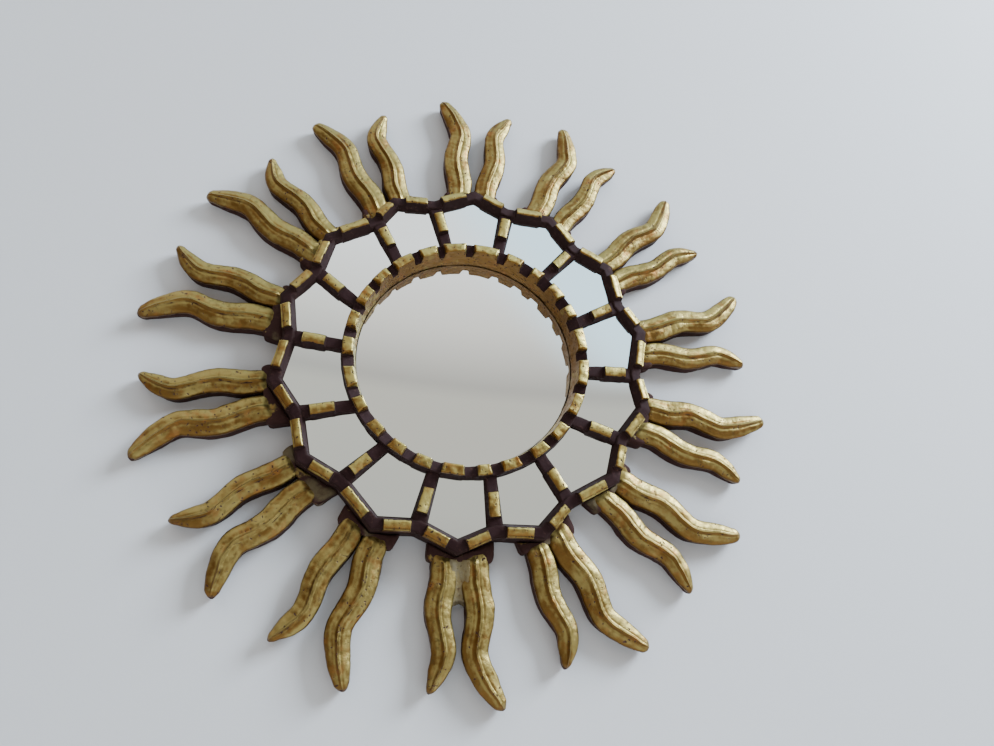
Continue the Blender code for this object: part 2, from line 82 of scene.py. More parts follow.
def bearing_way(bearing):
    """The unit plan vector at a bearing: (sine, cosine) of the angle."""
    angle = np.radians(bearing)
    return np.stack([np.sin(angle), np.cos(angle)], axis=-1)


def in_space(plan, depth):
    """Plan points (across, up) at a depth become (across, -depth, up)."""
    depth = np.broadcast_to(depth, plan.shape[:-1])
    return np.stack([plan[..., 0], -depth, plan[..., 1]], axis=-1)


def turn(points, bearing):
    """Turns points clockwise in the front view: the rotation about Y by the bearing."""
    angle = np.radians(bearing)
    x, y, z = np.moveaxis(points, -1, 0)
    return np.stack([x * np.cos(angle) + z * np.sin(angle), y,
                     z * np.cos(angle) - x * np.sin(angle)], axis=-1)


def blend(start, end, share):
    """start + (end - start) * share."""
    return start + (end - start) * share


def smooth(value):
    """The soft step 3t^2 - 2t^3 of the value, clipped to 0 and 1."""
    t = np.clip(value, 0.0, 1.0)
    return t * t * (3.0 - 2.0 * t)


def rounding(share, reach):
    """A quarter circle at each end: 1 at share 0 and 1, and 0 further in than the reach."""
    t = np.clip(1.0 - np.minimum(share, 1.0 - share) / reach, 0.0, 1.0)
    return 1.0 - np.sqrt(1.0 - t * t)


print("panels:", len(PANELS))

# %% [markdown]
# ## A knife's unevenness
#
# On the real piece no line is quite straight and no face quite flat, because every cut was made by hand.
# Random vertex noise would look like sand, so a few slow sine waves in chance directions are added up.
# They move a whole surface gently, and the seed keeps each run the same.

# %% Slow waves for hand-cut surfaces
def waves(points, length, seed, count=6):
    """The mean of sines of (point . direction * 2 pi / length + phase) for chance directions."""
    draw = np.random.default_rng(seed)
    total = np.zeros(points.shape[:-1])
    for _ in range(count):
        way = draw.normal(size=3)
        way /= np.linalg.norm(way)
        stretch = draw.uniform(0.6, 1.6)
        phase = draw.uniform(0.0, 2.0 * np.pi)
        total += np.sin(points @ way * 2.0 * np.pi * stretch / length + phase)
    return total / count


HAND_SHIFT = 0.00038
KNIFE_SHIFT = 0.00012


def hand_cut(points, seed):
    """Each coordinate moves by slow waves of 14 mm and faint ones of 4 mm."""
    moves = [HAND_SHIFT * waves(points, 0.014, seed + axis)
             + KNIFE_SHIFT * waves(points, 0.004, seed + 10 + axis) for axis in range(3)]
    return points + np.stack(moves, axis=-1)


def sway(points, size_and_length, seed):
    """Waves of a size and a wave length, as one column."""
    size, length = size_and_length
    return size * waves(points, length, seed)[:, None]


print("waves move a surface by up to", round(1000 * (HAND_SHIFT + KNIFE_SHIFT), 2), "mm")

# %% [markdown]
# ## From a grid of points to a closed skin
#
# Every carved form here is a cross-section carried along a path, so its points make a grid.
# Rows run along the path and columns around the section. Neighbours are joined by quads,
# and a fan of triangles closes each open end. The signed volume tells whether the faces point outwards.

# %% Skins and meshes
def skin(grid, masks, ends_meet=False):
    """Quads between neighbouring rows and columns, and a fan at each end unless the ends meet."""
    rows, columns, _ = grid.shape
    index = np.arange(rows * columns).reshape(rows, columns)
    near = index if ends_meet else index[:-1]
    far = np.roll(index, -1, axis=0) if ends_meet else index[1:]
    quads = np.stack([near, np.roll(near, -1, 1), np.roll(far, -1, 1), far], -1).reshape(-1, 4)
    points = grid.reshape(-1, 3)
    values = {name: np.broadcast_to(mask, (rows, columns)).reshape(-1) for name, mask in masks.items()}
    fans = np.zeros((0, 3), dtype=int)
    if not ends_meet:
        middles = np.stack([grid[0].mean(0), grid[-1].mean(0)])
        first, last = index[0], index[-1]
        fans = np.concatenate([
            np.stack([np.roll(first, -1), first, np.full(columns, len(points))], -1),
            np.stack([last, np.roll(last, -1), np.full(columns, len(points) + 1)], -1),
        ])
        points = np.concatenate([points, middles])
        for name, value in values.items():
            ends = value[[0, -1]] if name != "gilt" else np.zeros(2)
            values[name] = np.concatenate([value, ends])
    corners = np.concatenate([quads[:, :3], quads[:, [0, 2, 3]], fans])
    a, b, c = (points[corners[:, place]] for place in range(3))
    if np.sum(np.cross(a, b) * c) < 0.0:
        quads, fans = quads[:, ::-1], fans[:, ::-1]
    return {"points": points, "quads": quads, "fans": fans, "masks": values}


def make_piece(name, skins, material, node, sharp_angle):
    """Joins skins to one mesh, keeps their masks as attributes, and puts it in the node's place."""
    shift = np.cumsum([0] + [len(part["points"]) for part in skins])
    faces = []
    for part, start in zip(skins, shift):
        faces.extend((part["quads"] + start).tolist())
        faces.extend((part["fans"] + start).tolist())
    mesh = bpy.data.meshes.new(name)
    points = np.concatenate([part["points"] for part in skins])
    mesh.from_pydata(points.tolist(), [], faces)
    for mask in ("gilt", "grime_and_shade", "dust", "streak"):
        layer = mesh.attributes.new(mask, "FLOAT", "POINT")
        values = np.concatenate([part["masks"].get(mask, np.zeros(len(part["points"]))) for part in skins])
        layer.data.foreach_set("value", values.astype(np.float32))
    mesh.polygons.foreach_set("use_smooth", np.ones(len(faces), dtype=bool))
    mesh.set_sharp_from_angle(angle=np.radians(sharp_angle))
    mesh.materials.append(material)
    piece = bpy.data.objects.new(name, mesh)
    bpy.context.collection.objects.link(piece)
    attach(piece, "root")
    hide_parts(node)
    print(name, "has", len(faces), "faces")
    return piece


# %% [markdown]
# ## The finish: worn gilding over dark wood
#
# On the real mirror the carving was stained dark, and bronze-coloured leaf was laid on the raised parts.
# Age shows as warm and pale patches, fine cracks, small black specks and bare wood along rubbed edges.
# Four masks are painted onto the vertices when a surface is made: "gilt" says where leaf was laid,
# "grime_and_shade" where dirt sits and where shade is painted into the grooves, "dust" where a dull tan film
# lies, and "streak" runs along the brush strokes.
# Painted light: the leaf is painted paler on the side that faces the upper light, and deeper on the side
# turned from it.
# One node group mixes all this, so each material only sets its values.

# %% Node helpers
def add_group_socket(group, name, kind, way):
    """A socket on the group's outside."""
    group.interface.new_socket(name=name, in_out=way, socket_type=kind)


class Bench:
    """Puts nodes into a tree and joins them, so that a material reads as a list of steps."""

    def __init__(self, tree):
        self.tree = tree

    def node(self, kind, **settings):
        """A node with its settings."""
        made = self.tree.nodes.new(kind)
        for key, value in settings.items():
            setattr(made, key, value)
        return made

    def put(self, value, socket):
        """A number or colour is set on the socket, and an output is linked to it."""
        if isinstance(value, bpy.types.NodeSocket):
            self.tree.links.new(value, socket)
        else:
            socket.default_value = value

    def math(self, operation, *values):
        """A Math node."""
        made = self.node("ShaderNodeMath", operation=operation)
        for place, value in enumerate(values):
            self.put(value, made.inputs[place])
        return made.outputs[0]

    def add(self, first, second):
        """first + second."""
        return self.math("ADD", first, second)

    def minus(self, first, second):
        """first - second."""
        return self.math("SUBTRACT", first, second)

    def times(self, first, second):
        """first * second."""
        return self.math("MULTIPLY", first, second)

    def ramp(self, value, low, high, start=0.0, end=1.0):
        """A soft step of the value from low to high."""
        made = self.node("ShaderNodeMapRange", interpolation_type="SMOOTHSTEP")
        for name, item in (("Value", value), ("From Min", low), ("From Max", high),
                           ("To Min", start), ("To Max", end)):
            self.put(item, made.inputs[name])
        return made.outputs[0]

    def mix(self, share, first, second):
        """A colour between two colours."""
        made = self.node("ShaderNodeMix", data_type="RGBA")
        self.put(share, made.inputs[0])
        self.put(first, made.inputs[6])
        self.put(second, made.inputs[7])
        return made.outputs[2]

    def noise(self, place, scale, detail=3.0, roughness=0.55):
        """A noise value about 0.5."""
        made = self.node("ShaderNodeTexNoise")
        self.put(place, made.inputs["Vector"])
        made.inputs["Scale"].default_value = scale
        made.inputs["Detail"].default_value = detail
        made.inputs["Roughness"].default_value = roughness
        return made.outputs["Fac"]

    def cells(self, place, scale, feature):
        """Distances in a Voronoi pattern: to the nearest point, or to the nearest edge."""
        made = self.node("ShaderNodeTexVoronoi", feature=feature)
        self.put(place, made.inputs["Vector"])
        made.inputs["Scale"].default_value = scale
        return made.outputs["Distance"]


# %% The gilding as a node group
COPPER_PATCH = (0.25, 0.085, 0.020, 1.0)
TARNISH = (0.060, 0.040, 0.013, 1.0)
SCUFFED_WOOD = (0.13, 0.060, 0.045, 1.0)
TAN_DUST = (0.130, 0.099, 0.053, 1.0)
# The brown of dirt, also used for the painted shade in the ray grooves
DIRT_AND_SHADE_BROWN = (0.030, 0.018, 0.012, 1.0)
WOOD_ROUGHNESS = 0.68


def build_gilding():
    """Leaf colour from three noises and painted light on the lit side, cut away by cracks, specks, grime and
    rubbed edges, and darkened by dirt and painted shade.
    """
    group = bpy.data.node_groups.new("worn gilding", "ShaderNodeTree")
    for name in ("Gilt", "Grime and shade", "Dust", "Streak", "Lit side", "Age"):
        add_group_socket(group, name, "NodeSocketFloat", "INPUT")
    for name in ("Deep", "Pale", "Wood"):
        add_group_socket(group, name, "NodeSocketColor", "INPUT")
    add_group_socket(group, "Color", "NodeSocketColor", "OUTPUT")
    for name in ("Roughness", "Metallic", "Specular", "Height"):
        add_group_socket(group, name, "NodeSocketFloat", "OUTPUT")
    bench = Bench(group)
    given = bench.node("NodeGroupInput").outputs
    place = bench.node("ShaderNodeTexCoord").outputs["Object"]

    # Leaf colour from noise and streaks, with painted light: paler on the side that faces the upper light
    broad = bench.noise(place, 55.0, 2.0)
    fine = bench.noise(place, 330.0, 4.0)
    grain = bench.noise(place, 1500.0, 2.0)
    patches = bench.add(bench.times(broad, 0.55), bench.times(fine, 0.45))
    patches = bench.add(patches, bench.times(given["Streak"], 0.17))
    patches_and_light = bench.add(patches, bench.times(bench.minus(given["Lit side"], 0.5), 0.46))
    leaf = bench.mix(bench.ramp(patches_and_light, 0.34, 0.68), given["Deep"], given["Pale"])

    # Copper and tarnished patches
    copper = bench.ramp(bench.noise(place, 120.0, 3.0), 0.54, 0.74, 0.0, 0.52)
    leaf = bench.mix(copper, leaf, COPPER_PATCH)
    tarnish = bench.ramp(bench.noise(place, 210.0, 4.0, 0.65), 0.56, 0.72, 0.0, 0.55)
    leaf = bench.mix(tarnish, leaf, TARNISH)

    # How much leaf is kept at its edges and under the grime and painted shade
    worn = bench.minus(given["Gilt"], bench.times(given["Grime and shade"], 0.55))
    frayed = bench.add(worn, bench.times(bench.minus(fine, 0.5), 1.1))
    kept = bench.ramp(frayed, 0.34, 0.52)

    # Fine cracks and black specks cut through the leaf
    warp = bench.node("ShaderNodeVectorMath", operation="MULTIPLY_ADD")
    soft = bench.node("ShaderNodeTexNoise")
    bench.put(place, soft.inputs["Vector"])
    soft.inputs["Scale"].default_value = 160.0
    bench.put(soft.outputs["Color"], warp.inputs[0])
    warp.inputs[1].default_value = (0.006, 0.006, 0.006)
    bench.put(place, warp.inputs[2])
    crack = bench.ramp(bench.cells(warp.outputs[0], 120.0, "DISTANCE_TO_EDGE"), 0.010, 0.034, 1.0, 0.0)
    crack = bench.times(crack, bench.ramp(bench.noise(place, 95.0, 3.0), 0.60, 0.70))
    speck = bench.ramp(bench.cells(warp.outputs[0], 330.0, "F1"), 0.15, 0.25, 1.0, 0.0)
    where = bench.minus(bench.noise(place, 130.0, 2.0), bench.times(given["Age"], -0.19))
    speck = bench.times(speck, bench.ramp(where, 0.53, 0.60))
    marks = bench.math("MAXIMUM", crack, speck)
    kept = bench.times(kept, bench.minus(1.0, bench.times(marks, 0.95)))

    # Wood where leaf is missing, then the tan film, then the dirt and painted shade over both
    scuff = bench.ramp(bench.noise(place, 260.0, 5.0, 0.7), 0.56, 0.76, 0.0, 0.40)
    wood = bench.mix(scuff, given["Wood"], SCUFFED_WOOD)
    colour = bench.mix(kept, wood, leaf)
    smear = bench.add(given["Dust"], bench.times(bench.minus(patches, 0.5), 1.6))
    dusty = bench.times(bench.ramp(smear, 0.25, 0.85), bench.ramp(given["Dust"], 0.0, 0.15))
    colour = bench.mix(bench.times(dusty, 0.88), colour, TAN_DUST)
    # Dirt and painted shade darken the colour
    dirt_and_shade = bench.times(given["Grime and shade"], bench.minus(1.0, bench.times(kept, 0.4)))
    colour = bench.mix(bench.times(dirt_and_shade, 0.45), colour, DIRT_AND_SHADE_BROWN)

    # Gloss and relief
    rough_leaf = bench.ramp(fine, 0.35, 0.70, 0.34, 0.55)
    rough = bench.add(bench.times(rough_leaf, kept), bench.times(bench.minus(1.0, kept), WOOD_ROUGHNESS))
    height = bench.add(bench.times(kept, 0.35), bench.times(fine, 0.9))
    height = bench.add(height, bench.times(grain, 0.18))
    height = bench.add(height, bench.times(broad, 1.1))

    put_out = bench.node("NodeGroupOutput").inputs
    bench.put(colour, put_out["Color"])
    bench.put(rough, put_out["Roughness"])
    bench.put(bench.times(kept, bench.minus(0.92, bench.times(dusty, 0.70))), put_out["Metallic"])
    bench.put(bench.add(bench.times(kept, 0.40), 0.06), put_out["Specular"])
    bench.put(height, put_out["Height"])
    return group


GILDING = build_gilding()
print("node group:", GILDING.name, "with", len(GILDING.nodes), "nodes")


# %% Gilded materials
# The way up and to the right, towards the upper light: leaf that faces it is painted paler, as painted light
LIT_SIDE_WAY = (0.45, -0.30, 0.84)


def gilded(name, deep, pale, wood, age, bump):
    """A Principled material whose colour, gloss and relief come from the gilding group."""
    material = bpy.data.materials.new(name)
    material.use_nodes = True
    bench = Bench(material.node_tree)
    shader = material.node_tree.nodes["Principled BSDF"]
    group = bench.node("ShaderNodeGroup", node_tree=GILDING)
    for mask, socket in (("gilt", "Gilt"), ("grime_and_shade", "Grime and shade"), ("dust", "Dust"), ("streak", "Streak")):
        source = bench.node("ShaderNodeAttribute", attribute_name=mask)
        bench.put(source.outputs["Fac"], group.inputs[socket])
    # Painted light: how far the surface faces the upper light, which makes the leaf paler
    facing = bench.node("ShaderNodeVectorMath", operation="DOT_PRODUCT")
    bench.put(bench.node("ShaderNodeNewGeometry").outputs["Normal"], facing.inputs[0])
    facing.inputs[1].default_value = LIT_SIDE_WAY
    bench.put(bench.ramp(facing.outputs["Value"], -0.75, 0.95), group.inputs["Lit side"])
    group.inputs["Age"].default_value = age
    for socket, value in (("Deep", deep), ("Pale", pale), ("Wood", wood)):
        group.inputs[socket].default_value = (*value, 1.0)
    bench.put(group.outputs["Color"], shader.inputs["Base Color"])
    bench.put(group.outputs["Roughness"], shader.inputs["Roughness"])
    bench.put(group.outputs["Metallic"], shader.inputs["Metallic"])
    bench.put(group.outputs["Specular"], shader.inputs["Specular IOR Level"])
    relief = bench.node("ShaderNodeBump")
    relief.inputs["Strength"].default_value = 1.0
    relief.inputs["Distance"].default_value = bump
    bench.put(group.outputs["Height"], relief.inputs["Height"])
    bench.put(relief.outputs["Normal"], shader.inputs["Normal"])
    return material


FRAME_GILDING = gilded("gilded lands on dark wood", (0.182, 0.087, 0.019), (0.37, 0.28, 0.084),
                       (0.024, 0.010, 0.010), 1.0, 0.00030)
RAY_GILDING = gilded("gilded rays", (0.144, 0.071, 0.016), (0.275, 0.198, 0.061),
                     (0.040, 0.016, 0.014), 0.35, 0.00035)

# %% [markdown]
# ## The ring around the round glass
#
# The ring is a turned hoop that was then notched with a knife, which leaves 25 gilded chips on its crest.
# Each notch is cut deeper on the side of the glass, so it reads as a dark wedge from below.
# One profile goes around the circle. Its crest drops inside a notch, and its two walls stay as they are.

# %% Ring
RING_MIRROR_RADIUS = 0.0706
RING_INNER_RADIUS = 0.0722
RING_OUTER_RADIUS = 0.0784
RING_FOOT_RADIUS = 0.0797
RING_HEIGHT = 0.0270
RING_OUTER_DROP = 0.0008
RING_NOTCH_SLOPE_ANGLE = 0.55
RING_INNER_SLOPE_ANGLE = 1.7
RING_NOTCH_OUTER_DEPTH = 0.0028
RING_NOTCH_INNER_DEPTH = 0.0068
RING_NOTCHES = np.array([
    (17, 1.7), (31, 2.4), (43, 2.5), (57, 2.1), (69.5, 2.8), (87, 2.1), (105, 2.3), (122, 2.8),
    (136.5, 2.1), (151, 2.8), (166, 2.3), (178, 2.6), (194, 2.1), (207.5, 2.3), (220.5, 2.1),
    (234, 2.6), (247, 2.1), (263, 2.5), (277, 2.1), (290.5, 1.8), (304.5, 1.6), (317.5, 1.6),
    (332, 1.6), (345, 1.3), (360, 1.7),
])
WELL_RADIUS = 0.0750
WELL_FLOOR = 0.0070
EDGE_ROUND = 0.0006
RING_EDGE_SHARE = 0.12
RING_CROWN = 0.0004
RING_INNER_LEAD = 0.3
# A shallow line turned into the inner wall, and the dark putty where the wall meets the glass
LINE_DEPTH = 0.0125
LINE_WIDTH = 0.0012
LINE_CUT = 0.0005
PUTTY_DEPTH = 0.0100
PUTTY_FADE = 0.0012
# How far the leaf comes down a wall from the crest
INNER_LEAF = 0.0012
RING_OUTER_LEAF = 0.0022
WALL_GRIME = 0.4
RING_STREAK_RADIUS = 0.03
RING_STREAK_LENGTH = 0.0035
RING_ROWS = 1200
WALL_STEPS = np.linspace(0.0, 1.0, 8)
TOP_STEPS = np.array([0.0, 0.05, 0.12, 0.25, 0.42, 0.58, 0.75, 0.88, 0.95, 1.0])


def ring_outer_radius(depth):
    """The outer wall leans in from its foot to its crest."""
    share = (depth - BOARD_THICKNESS) / (RING_HEIGHT - BOARD_THICKNESS)
    return blend(RING_FOOT_RADIUS, RING_OUTER_RADIUS, share)


def ring_inner_radius(depth):
    """The inner wall opens slightly from the glass to the crest."""
    share = (depth - WELL_FLOOR) / (RING_HEIGHT - WELL_FLOOR)
    return blend(RING_MIRROR_RADIUS, RING_INNER_RADIUS, share)


def ring_skin():
    """The profile (inner wall, crest, outer wall, underside) at 1200 bearings around the circle."""
    draw = np.random.default_rng(7)
    bearing = np.arange(RING_ROWS)[:, None] * 360.0 / RING_ROWS
    gap = np.abs((bearing - RING_NOTCHES[:, 0] + 180.0) % 360.0 - 180.0)
    half = RING_NOTCHES[:, 1] * draw.uniform(0.94, 1.06, len(RING_NOTCHES))
    low = smooth(1.0 - (gap - half) / RING_NOTCH_SLOPE_ANGLE).max(axis=1, keepdims=True)
    low_in = 1.0 - (gap - half + RING_INNER_LEAD) / RING_INNER_SLOPE_ANGLE
    low_in = smooth(low_in).max(axis=1, keepdims=True)
    inner = RING_HEIGHT - RING_NOTCH_INNER_DEPTH * low_in
    outer = RING_HEIGHT - RING_OUTER_DROP - RING_NOTCH_OUTER_DEPTH * low
    foot = WELL_FLOOR - BURIED

    depth_in = blend(foot, inner - EDGE_ROUND, WALL_STEPS)
    line = np.exp(-(((depth_in - LINE_DEPTH) / LINE_WIDTH) ** 2))
    radius_in = ring_inner_radius(depth_in) - LINE_CUT * line
    rubbed = rounding(TOP_STEPS, RING_EDGE_SHARE)
    depth_top = blend(inner, outer, TOP_STEPS) - EDGE_ROUND * rubbed
    depth_top = depth_top + RING_CROWN * (1.0 - low) * (1.0 - (2.0 * TOP_STEPS - 1.0) ** 2)
    radius_top = blend(ring_inner_radius(inner), ring_outer_radius(outer), TOP_STEPS)
    depth_out = blend(outer - EDGE_ROUND, foot, WALL_STEPS)
    radius_out = ring_outer_radius(depth_out)
    under = np.array([0.33, 0.67])
    radius_under = blend(radius_out[:, -1:], radius_in[:, :1], under)
    depth = np.concatenate([depth_in, depth_top, depth_out, np.full_like(radius_under, foot)], axis=1)
    radius = np.concatenate([radius_in, radius_top, radius_out, radius_under], axis=1)
    grid = in_space(bearing_way(bearing) * radius[..., None], depth)

    notch_floor = RING_HEIGHT - RING_NOTCH_INNER_DEPTH
    below_notch = smooth((depth_in - (notch_floor - INNER_LEAF)) / INNER_LEAF)
    gilt_out = (1.0 - low) * smooth(1.0 - (outer - depth_out) / RING_OUTER_LEAF)
    bare = np.zeros_like(radius_under)
    gilt_top = np.tile(1.0 - low, len(TOP_STEPS))
    gilt = np.concatenate([1.0 - low * below_notch, gilt_top, gilt_out, bare], axis=1)
    edge = 4.0 * low * (1.0 - low)
    at_glass = smooth(1.0 - (depth_in - PUTTY_DEPTH) / PUTTY_FADE) + 0.35 * line
    grime_top = np.tile(edge, len(TOP_STEPS)) + 0.7 * rubbed
    grime_and_shade = np.concatenate([at_glass, grime_top, np.full_like(depth_out, 0.3), bare], axis=1)
    around = RING_STREAK_RADIUS * bearing_way(bearing) + 0.0 * depth[..., None]
    turns = np.concatenate([depth[..., None], around], axis=-1)
    streak = 1.4 * waves(turns, RING_STREAK_LENGTH, 101)
    return skin(hand_cut(grid, 100), {"gilt": gilt, "grime_and_shade": grime_and_shade, "streak": streak}, ends_meet=True)


RING = ring_skin()
print("ring points:", len(RING["points"]))

# %% [markdown]
# ## The rim of straight bars
#
# The outer rim is a zigzag of 28 short bars, two to each panel, mitred at every corner.
# Each bar keeps one gilded land, a pillow between two notches, and the junctions stay low and dark.
# The corners come first. A mitre moves a corner along the bisector of its two bars, so every line of
# the profile stays parallel to its bar, and the section is carried along the closed zigzag.

# %% Rim
RIM_HEIGHT = 0.0252
RIM_OUTER_DROP = 0.0016
RIM_NOTCH_DEPTH = 0.0034
RIM_FOOT_INSET = 0.0041
RIM_CREST_INSET = 0.0002
RIM_CREST_OUTSET = 0.0047
RIM_WALL_OFFSET = 0.0055
RIM_LAND_START = 0.19
RIM_LAND_END = 0.80
RIM_LAND_SLOPE = 0.0009
RIM_LAND_SPREAD = 0.03
RIM_EDGE_SHARE = 0.14
RIM_CROWN = 0.0006
RIM_OUTER_ROUND = 0.0008
RIM_OUTER_LEAF = 0.0030
MITRE_SHARE = 0.15
SPLIT_WIDTH = 0.0005
BAR_STEPS = np.concatenate([
    np.linspace(0.0, 0.15, 4)[:-1], np.linspace(0.15, 0.26, 9)[:-1], np.linspace(0.26, 0.74, 15)[:-1],
    np.linspace(0.74, 0.86, 9)[:-1], np.linspace(0.86, 1.0, 4)[:-1],
])

RIM_CORNERS = np.array([
    point for _, junction, peak, _, _ in PANELS
    for point in (JUNCTION_RADIUS * bearing_way(junction), PEAK_RADIUS * bearing_way(peak))
])
BAR_SPANS = np.roll(RIM_CORNERS, -1, axis=0) - RIM_CORNERS
BAR_LENGTHS = np.linalg.norm(BAR_SPANS, axis=1)
BAR_WAYS = BAR_SPANS / BAR_LENGTHS[:, None]
BAR_NORMALS = np.stack([-BAR_WAYS[:, 1], BAR_WAYS[:, 0]], axis=1)
BEFORE = np.roll(BAR_NORMALS, 1, axis=0)
MITRES = (BEFORE + BAR_NORMALS) / (1.0 + np.sum(BEFORE * BAR_NORMALS, axis=1, keepdims=True))


def rim_corner(index, offset):
    """A corner moved outward with its two bars: corner + mitre * offset."""
    index = index % len(RIM_CORNERS)
    return RIM_CORNERS[index] + MITRES[index] * offset


def rim_inner_offset(depth):
    """The inner wall slopes outwards from its foot to its crest."""
    share = (RIM_HEIGHT - depth) / (RIM_HEIGHT - BOARD_THICKNESS)
    return -blend(RIM_CREST_INSET, RIM_FOOT_INSET, share)


def bar_rows(bar, draw):
    """The profile (outer wall, crest, inner wall, underside) along one bar, and its masks."""
    length = BAR_LENGTHS[bar]
    start, end = RIM_LAND_START, RIM_LAND_END
    if bar % 2 == 1:
        start, end = 1.0 - end, 1.0 - start
    start += draw.uniform(-RIM_LAND_SPREAD, RIM_LAND_SPREAD)
    end += draw.uniform(-RIM_LAND_SPREAD, RIM_LAND_SPREAD)
    step = BAR_STEPS[:, None]
    high = smooth((step - start) * length / RIM_LAND_SLOPE + 0.5)
    high = high * smooth((end - step) * length / RIM_LAND_SLOPE + 0.5)
    inner = RIM_HEIGHT - RIM_NOTCH_DEPTH * (1.0 - high)
    outer = inner - RIM_OUTER_DROP
    depth_out = blend(BURIED, outer - RIM_OUTER_ROUND, WALL_STEPS)
    offset_out = np.full_like(depth_out, RIM_WALL_OFFSET)
    rubbed = rounding(TOP_STEPS, RIM_EDGE_SHARE)
    depth_top = blend(outer, inner, TOP_STEPS) - EDGE_ROUND * rubbed
    depth_top = depth_top + RIM_CROWN * high * (1.0 - (2.0 * TOP_STEPS - 1.0) ** 2)
    offset_top = blend(RIM_CREST_OUTSET, rim_inner_offset(inner), TOP_STEPS)
    depth_in = blend(inner - EDGE_ROUND, BOARD_THICKNESS - BURIED, WALL_STEPS)
    offset_in = rim_inner_offset(depth_in)
    under = np.tile([BURIED], (len(BAR_STEPS), 1))
    depth = np.concatenate([depth_out, depth_top, depth_in, under], axis=1)
    offset = np.concatenate([offset_out, offset_top, offset_in, under * 0.0], axis=1)

    at_start = offset * (MITRES[bar] @ BAR_WAYS[bar])
    at_end = length + offset * (MITRES[(bar + 1) % len(MITRES)] @ BAR_WAYS[bar])
    first, last = MITRE_SHARE, 1.0 - MITRE_SHARE
    leaving = blend(at_start, first * length, step / first)
    arriving = blend(last * length, at_end, (step - 1.0 + first) / first)
    along = np.where(step < first, leaving, np.where(step > last, arriving, step * length))
    plan = RIM_CORNERS[bar] + along[..., None] * BAR_WAYS[bar] + offset[..., None] * BAR_NORMALS[bar]

    flank = smooth(1.0 - (outer - depth_out - RIM_OUTER_LEAF) / RIM_OUTER_LEAF)
    gilt_in = high * smooth(1.0 - (inner - depth_in) / INNER_LEAF)
    gilt = np.concatenate([high * flank, np.tile(high, len(TOP_STEPS)), gilt_in, under * 0.0], axis=1)
    edge = 4.0 * high * (1.0 - high)
    split = np.exp(-((step - draw.uniform(0.42, 0.58)) * length / SPLIT_WIDTH) ** 2)
    split = split * draw.choice([0.0, 0.9])
    crest = np.tile(edge + split, len(TOP_STEPS)) + 0.8 * rubbed
    sides = np.full_like(depth_out, WALL_GRIME)
    grime_and_shade = np.concatenate([sides, crest, sides, under * 0.0], axis=1)
    return in_space(plan, depth), gilt, grime_and_shade


def rim_skin():
    """All bars one after another around the zigzag."""
    draw = np.random.default_rng(21)
    grids, gilts, grime_and_shade_masks = zip(*[bar_rows(bar, draw) for bar in range(len(RIM_CORNERS))])
    masks = {"gilt": np.concatenate(gilts), "grime_and_shade": np.concatenate(grime_and_shade_masks)}
    return skin(hand_cut(np.concatenate(grids), 140), masks, ends_meet=True)


RIM = rim_skin()
print("rim bars:", len(RIM_CORNERS), "mean length", round(1000 * BAR_LENGTHS.mean(), 1), "mm")

# %% [markdown]
# ## Spokes
#
# Fourteen short spokes tie the ring to the rim's inner corners and part the small glasses.
# A spoke is a tapered bar with one gilded land near the rim and a low dark stretch at the ring.
# It runs from a foot on the ring to its junction, which are not quite in line with the centre.

# %% Spokes and board
SPOKE_HEIGHT = 0.0245
SPOKE_BARE_HEIGHT = 0.0210
SPOKE_HALF_WIDTH_TOP = 0.0031
SPOKE_FOOT_HALF_WIDTHS = (0.0043, 0.0059)
SPOKE_BARE_LENGTHS = (0.0106, 0.0055)
SPOKE_LAND_SLOPE = 0.0009
SPOKE_LAND_SPREADS = (0.0008, 0.0006)
# Rows lie close together from just outside each end of a land to just inside it
CLOSE_OUTSIDE = 0.0010
CLOSE_INSIDE = 0.0015
SPOKE_START_RADIUS = 0.0753
SPOKE_EDGE_SHARE = 0.16
SPOKE_CROWN = 0.0005
BACK_RIM = 0.003
BACK_DUST = 0.55
SPOKE_TOP = np.array([0.0, 0.06, 0.14, 0.32, 0.5, 0.68, 0.86, 0.94, 1.0])
SPOKE_WALL = np.linspace(0.0, 1.0, 6)


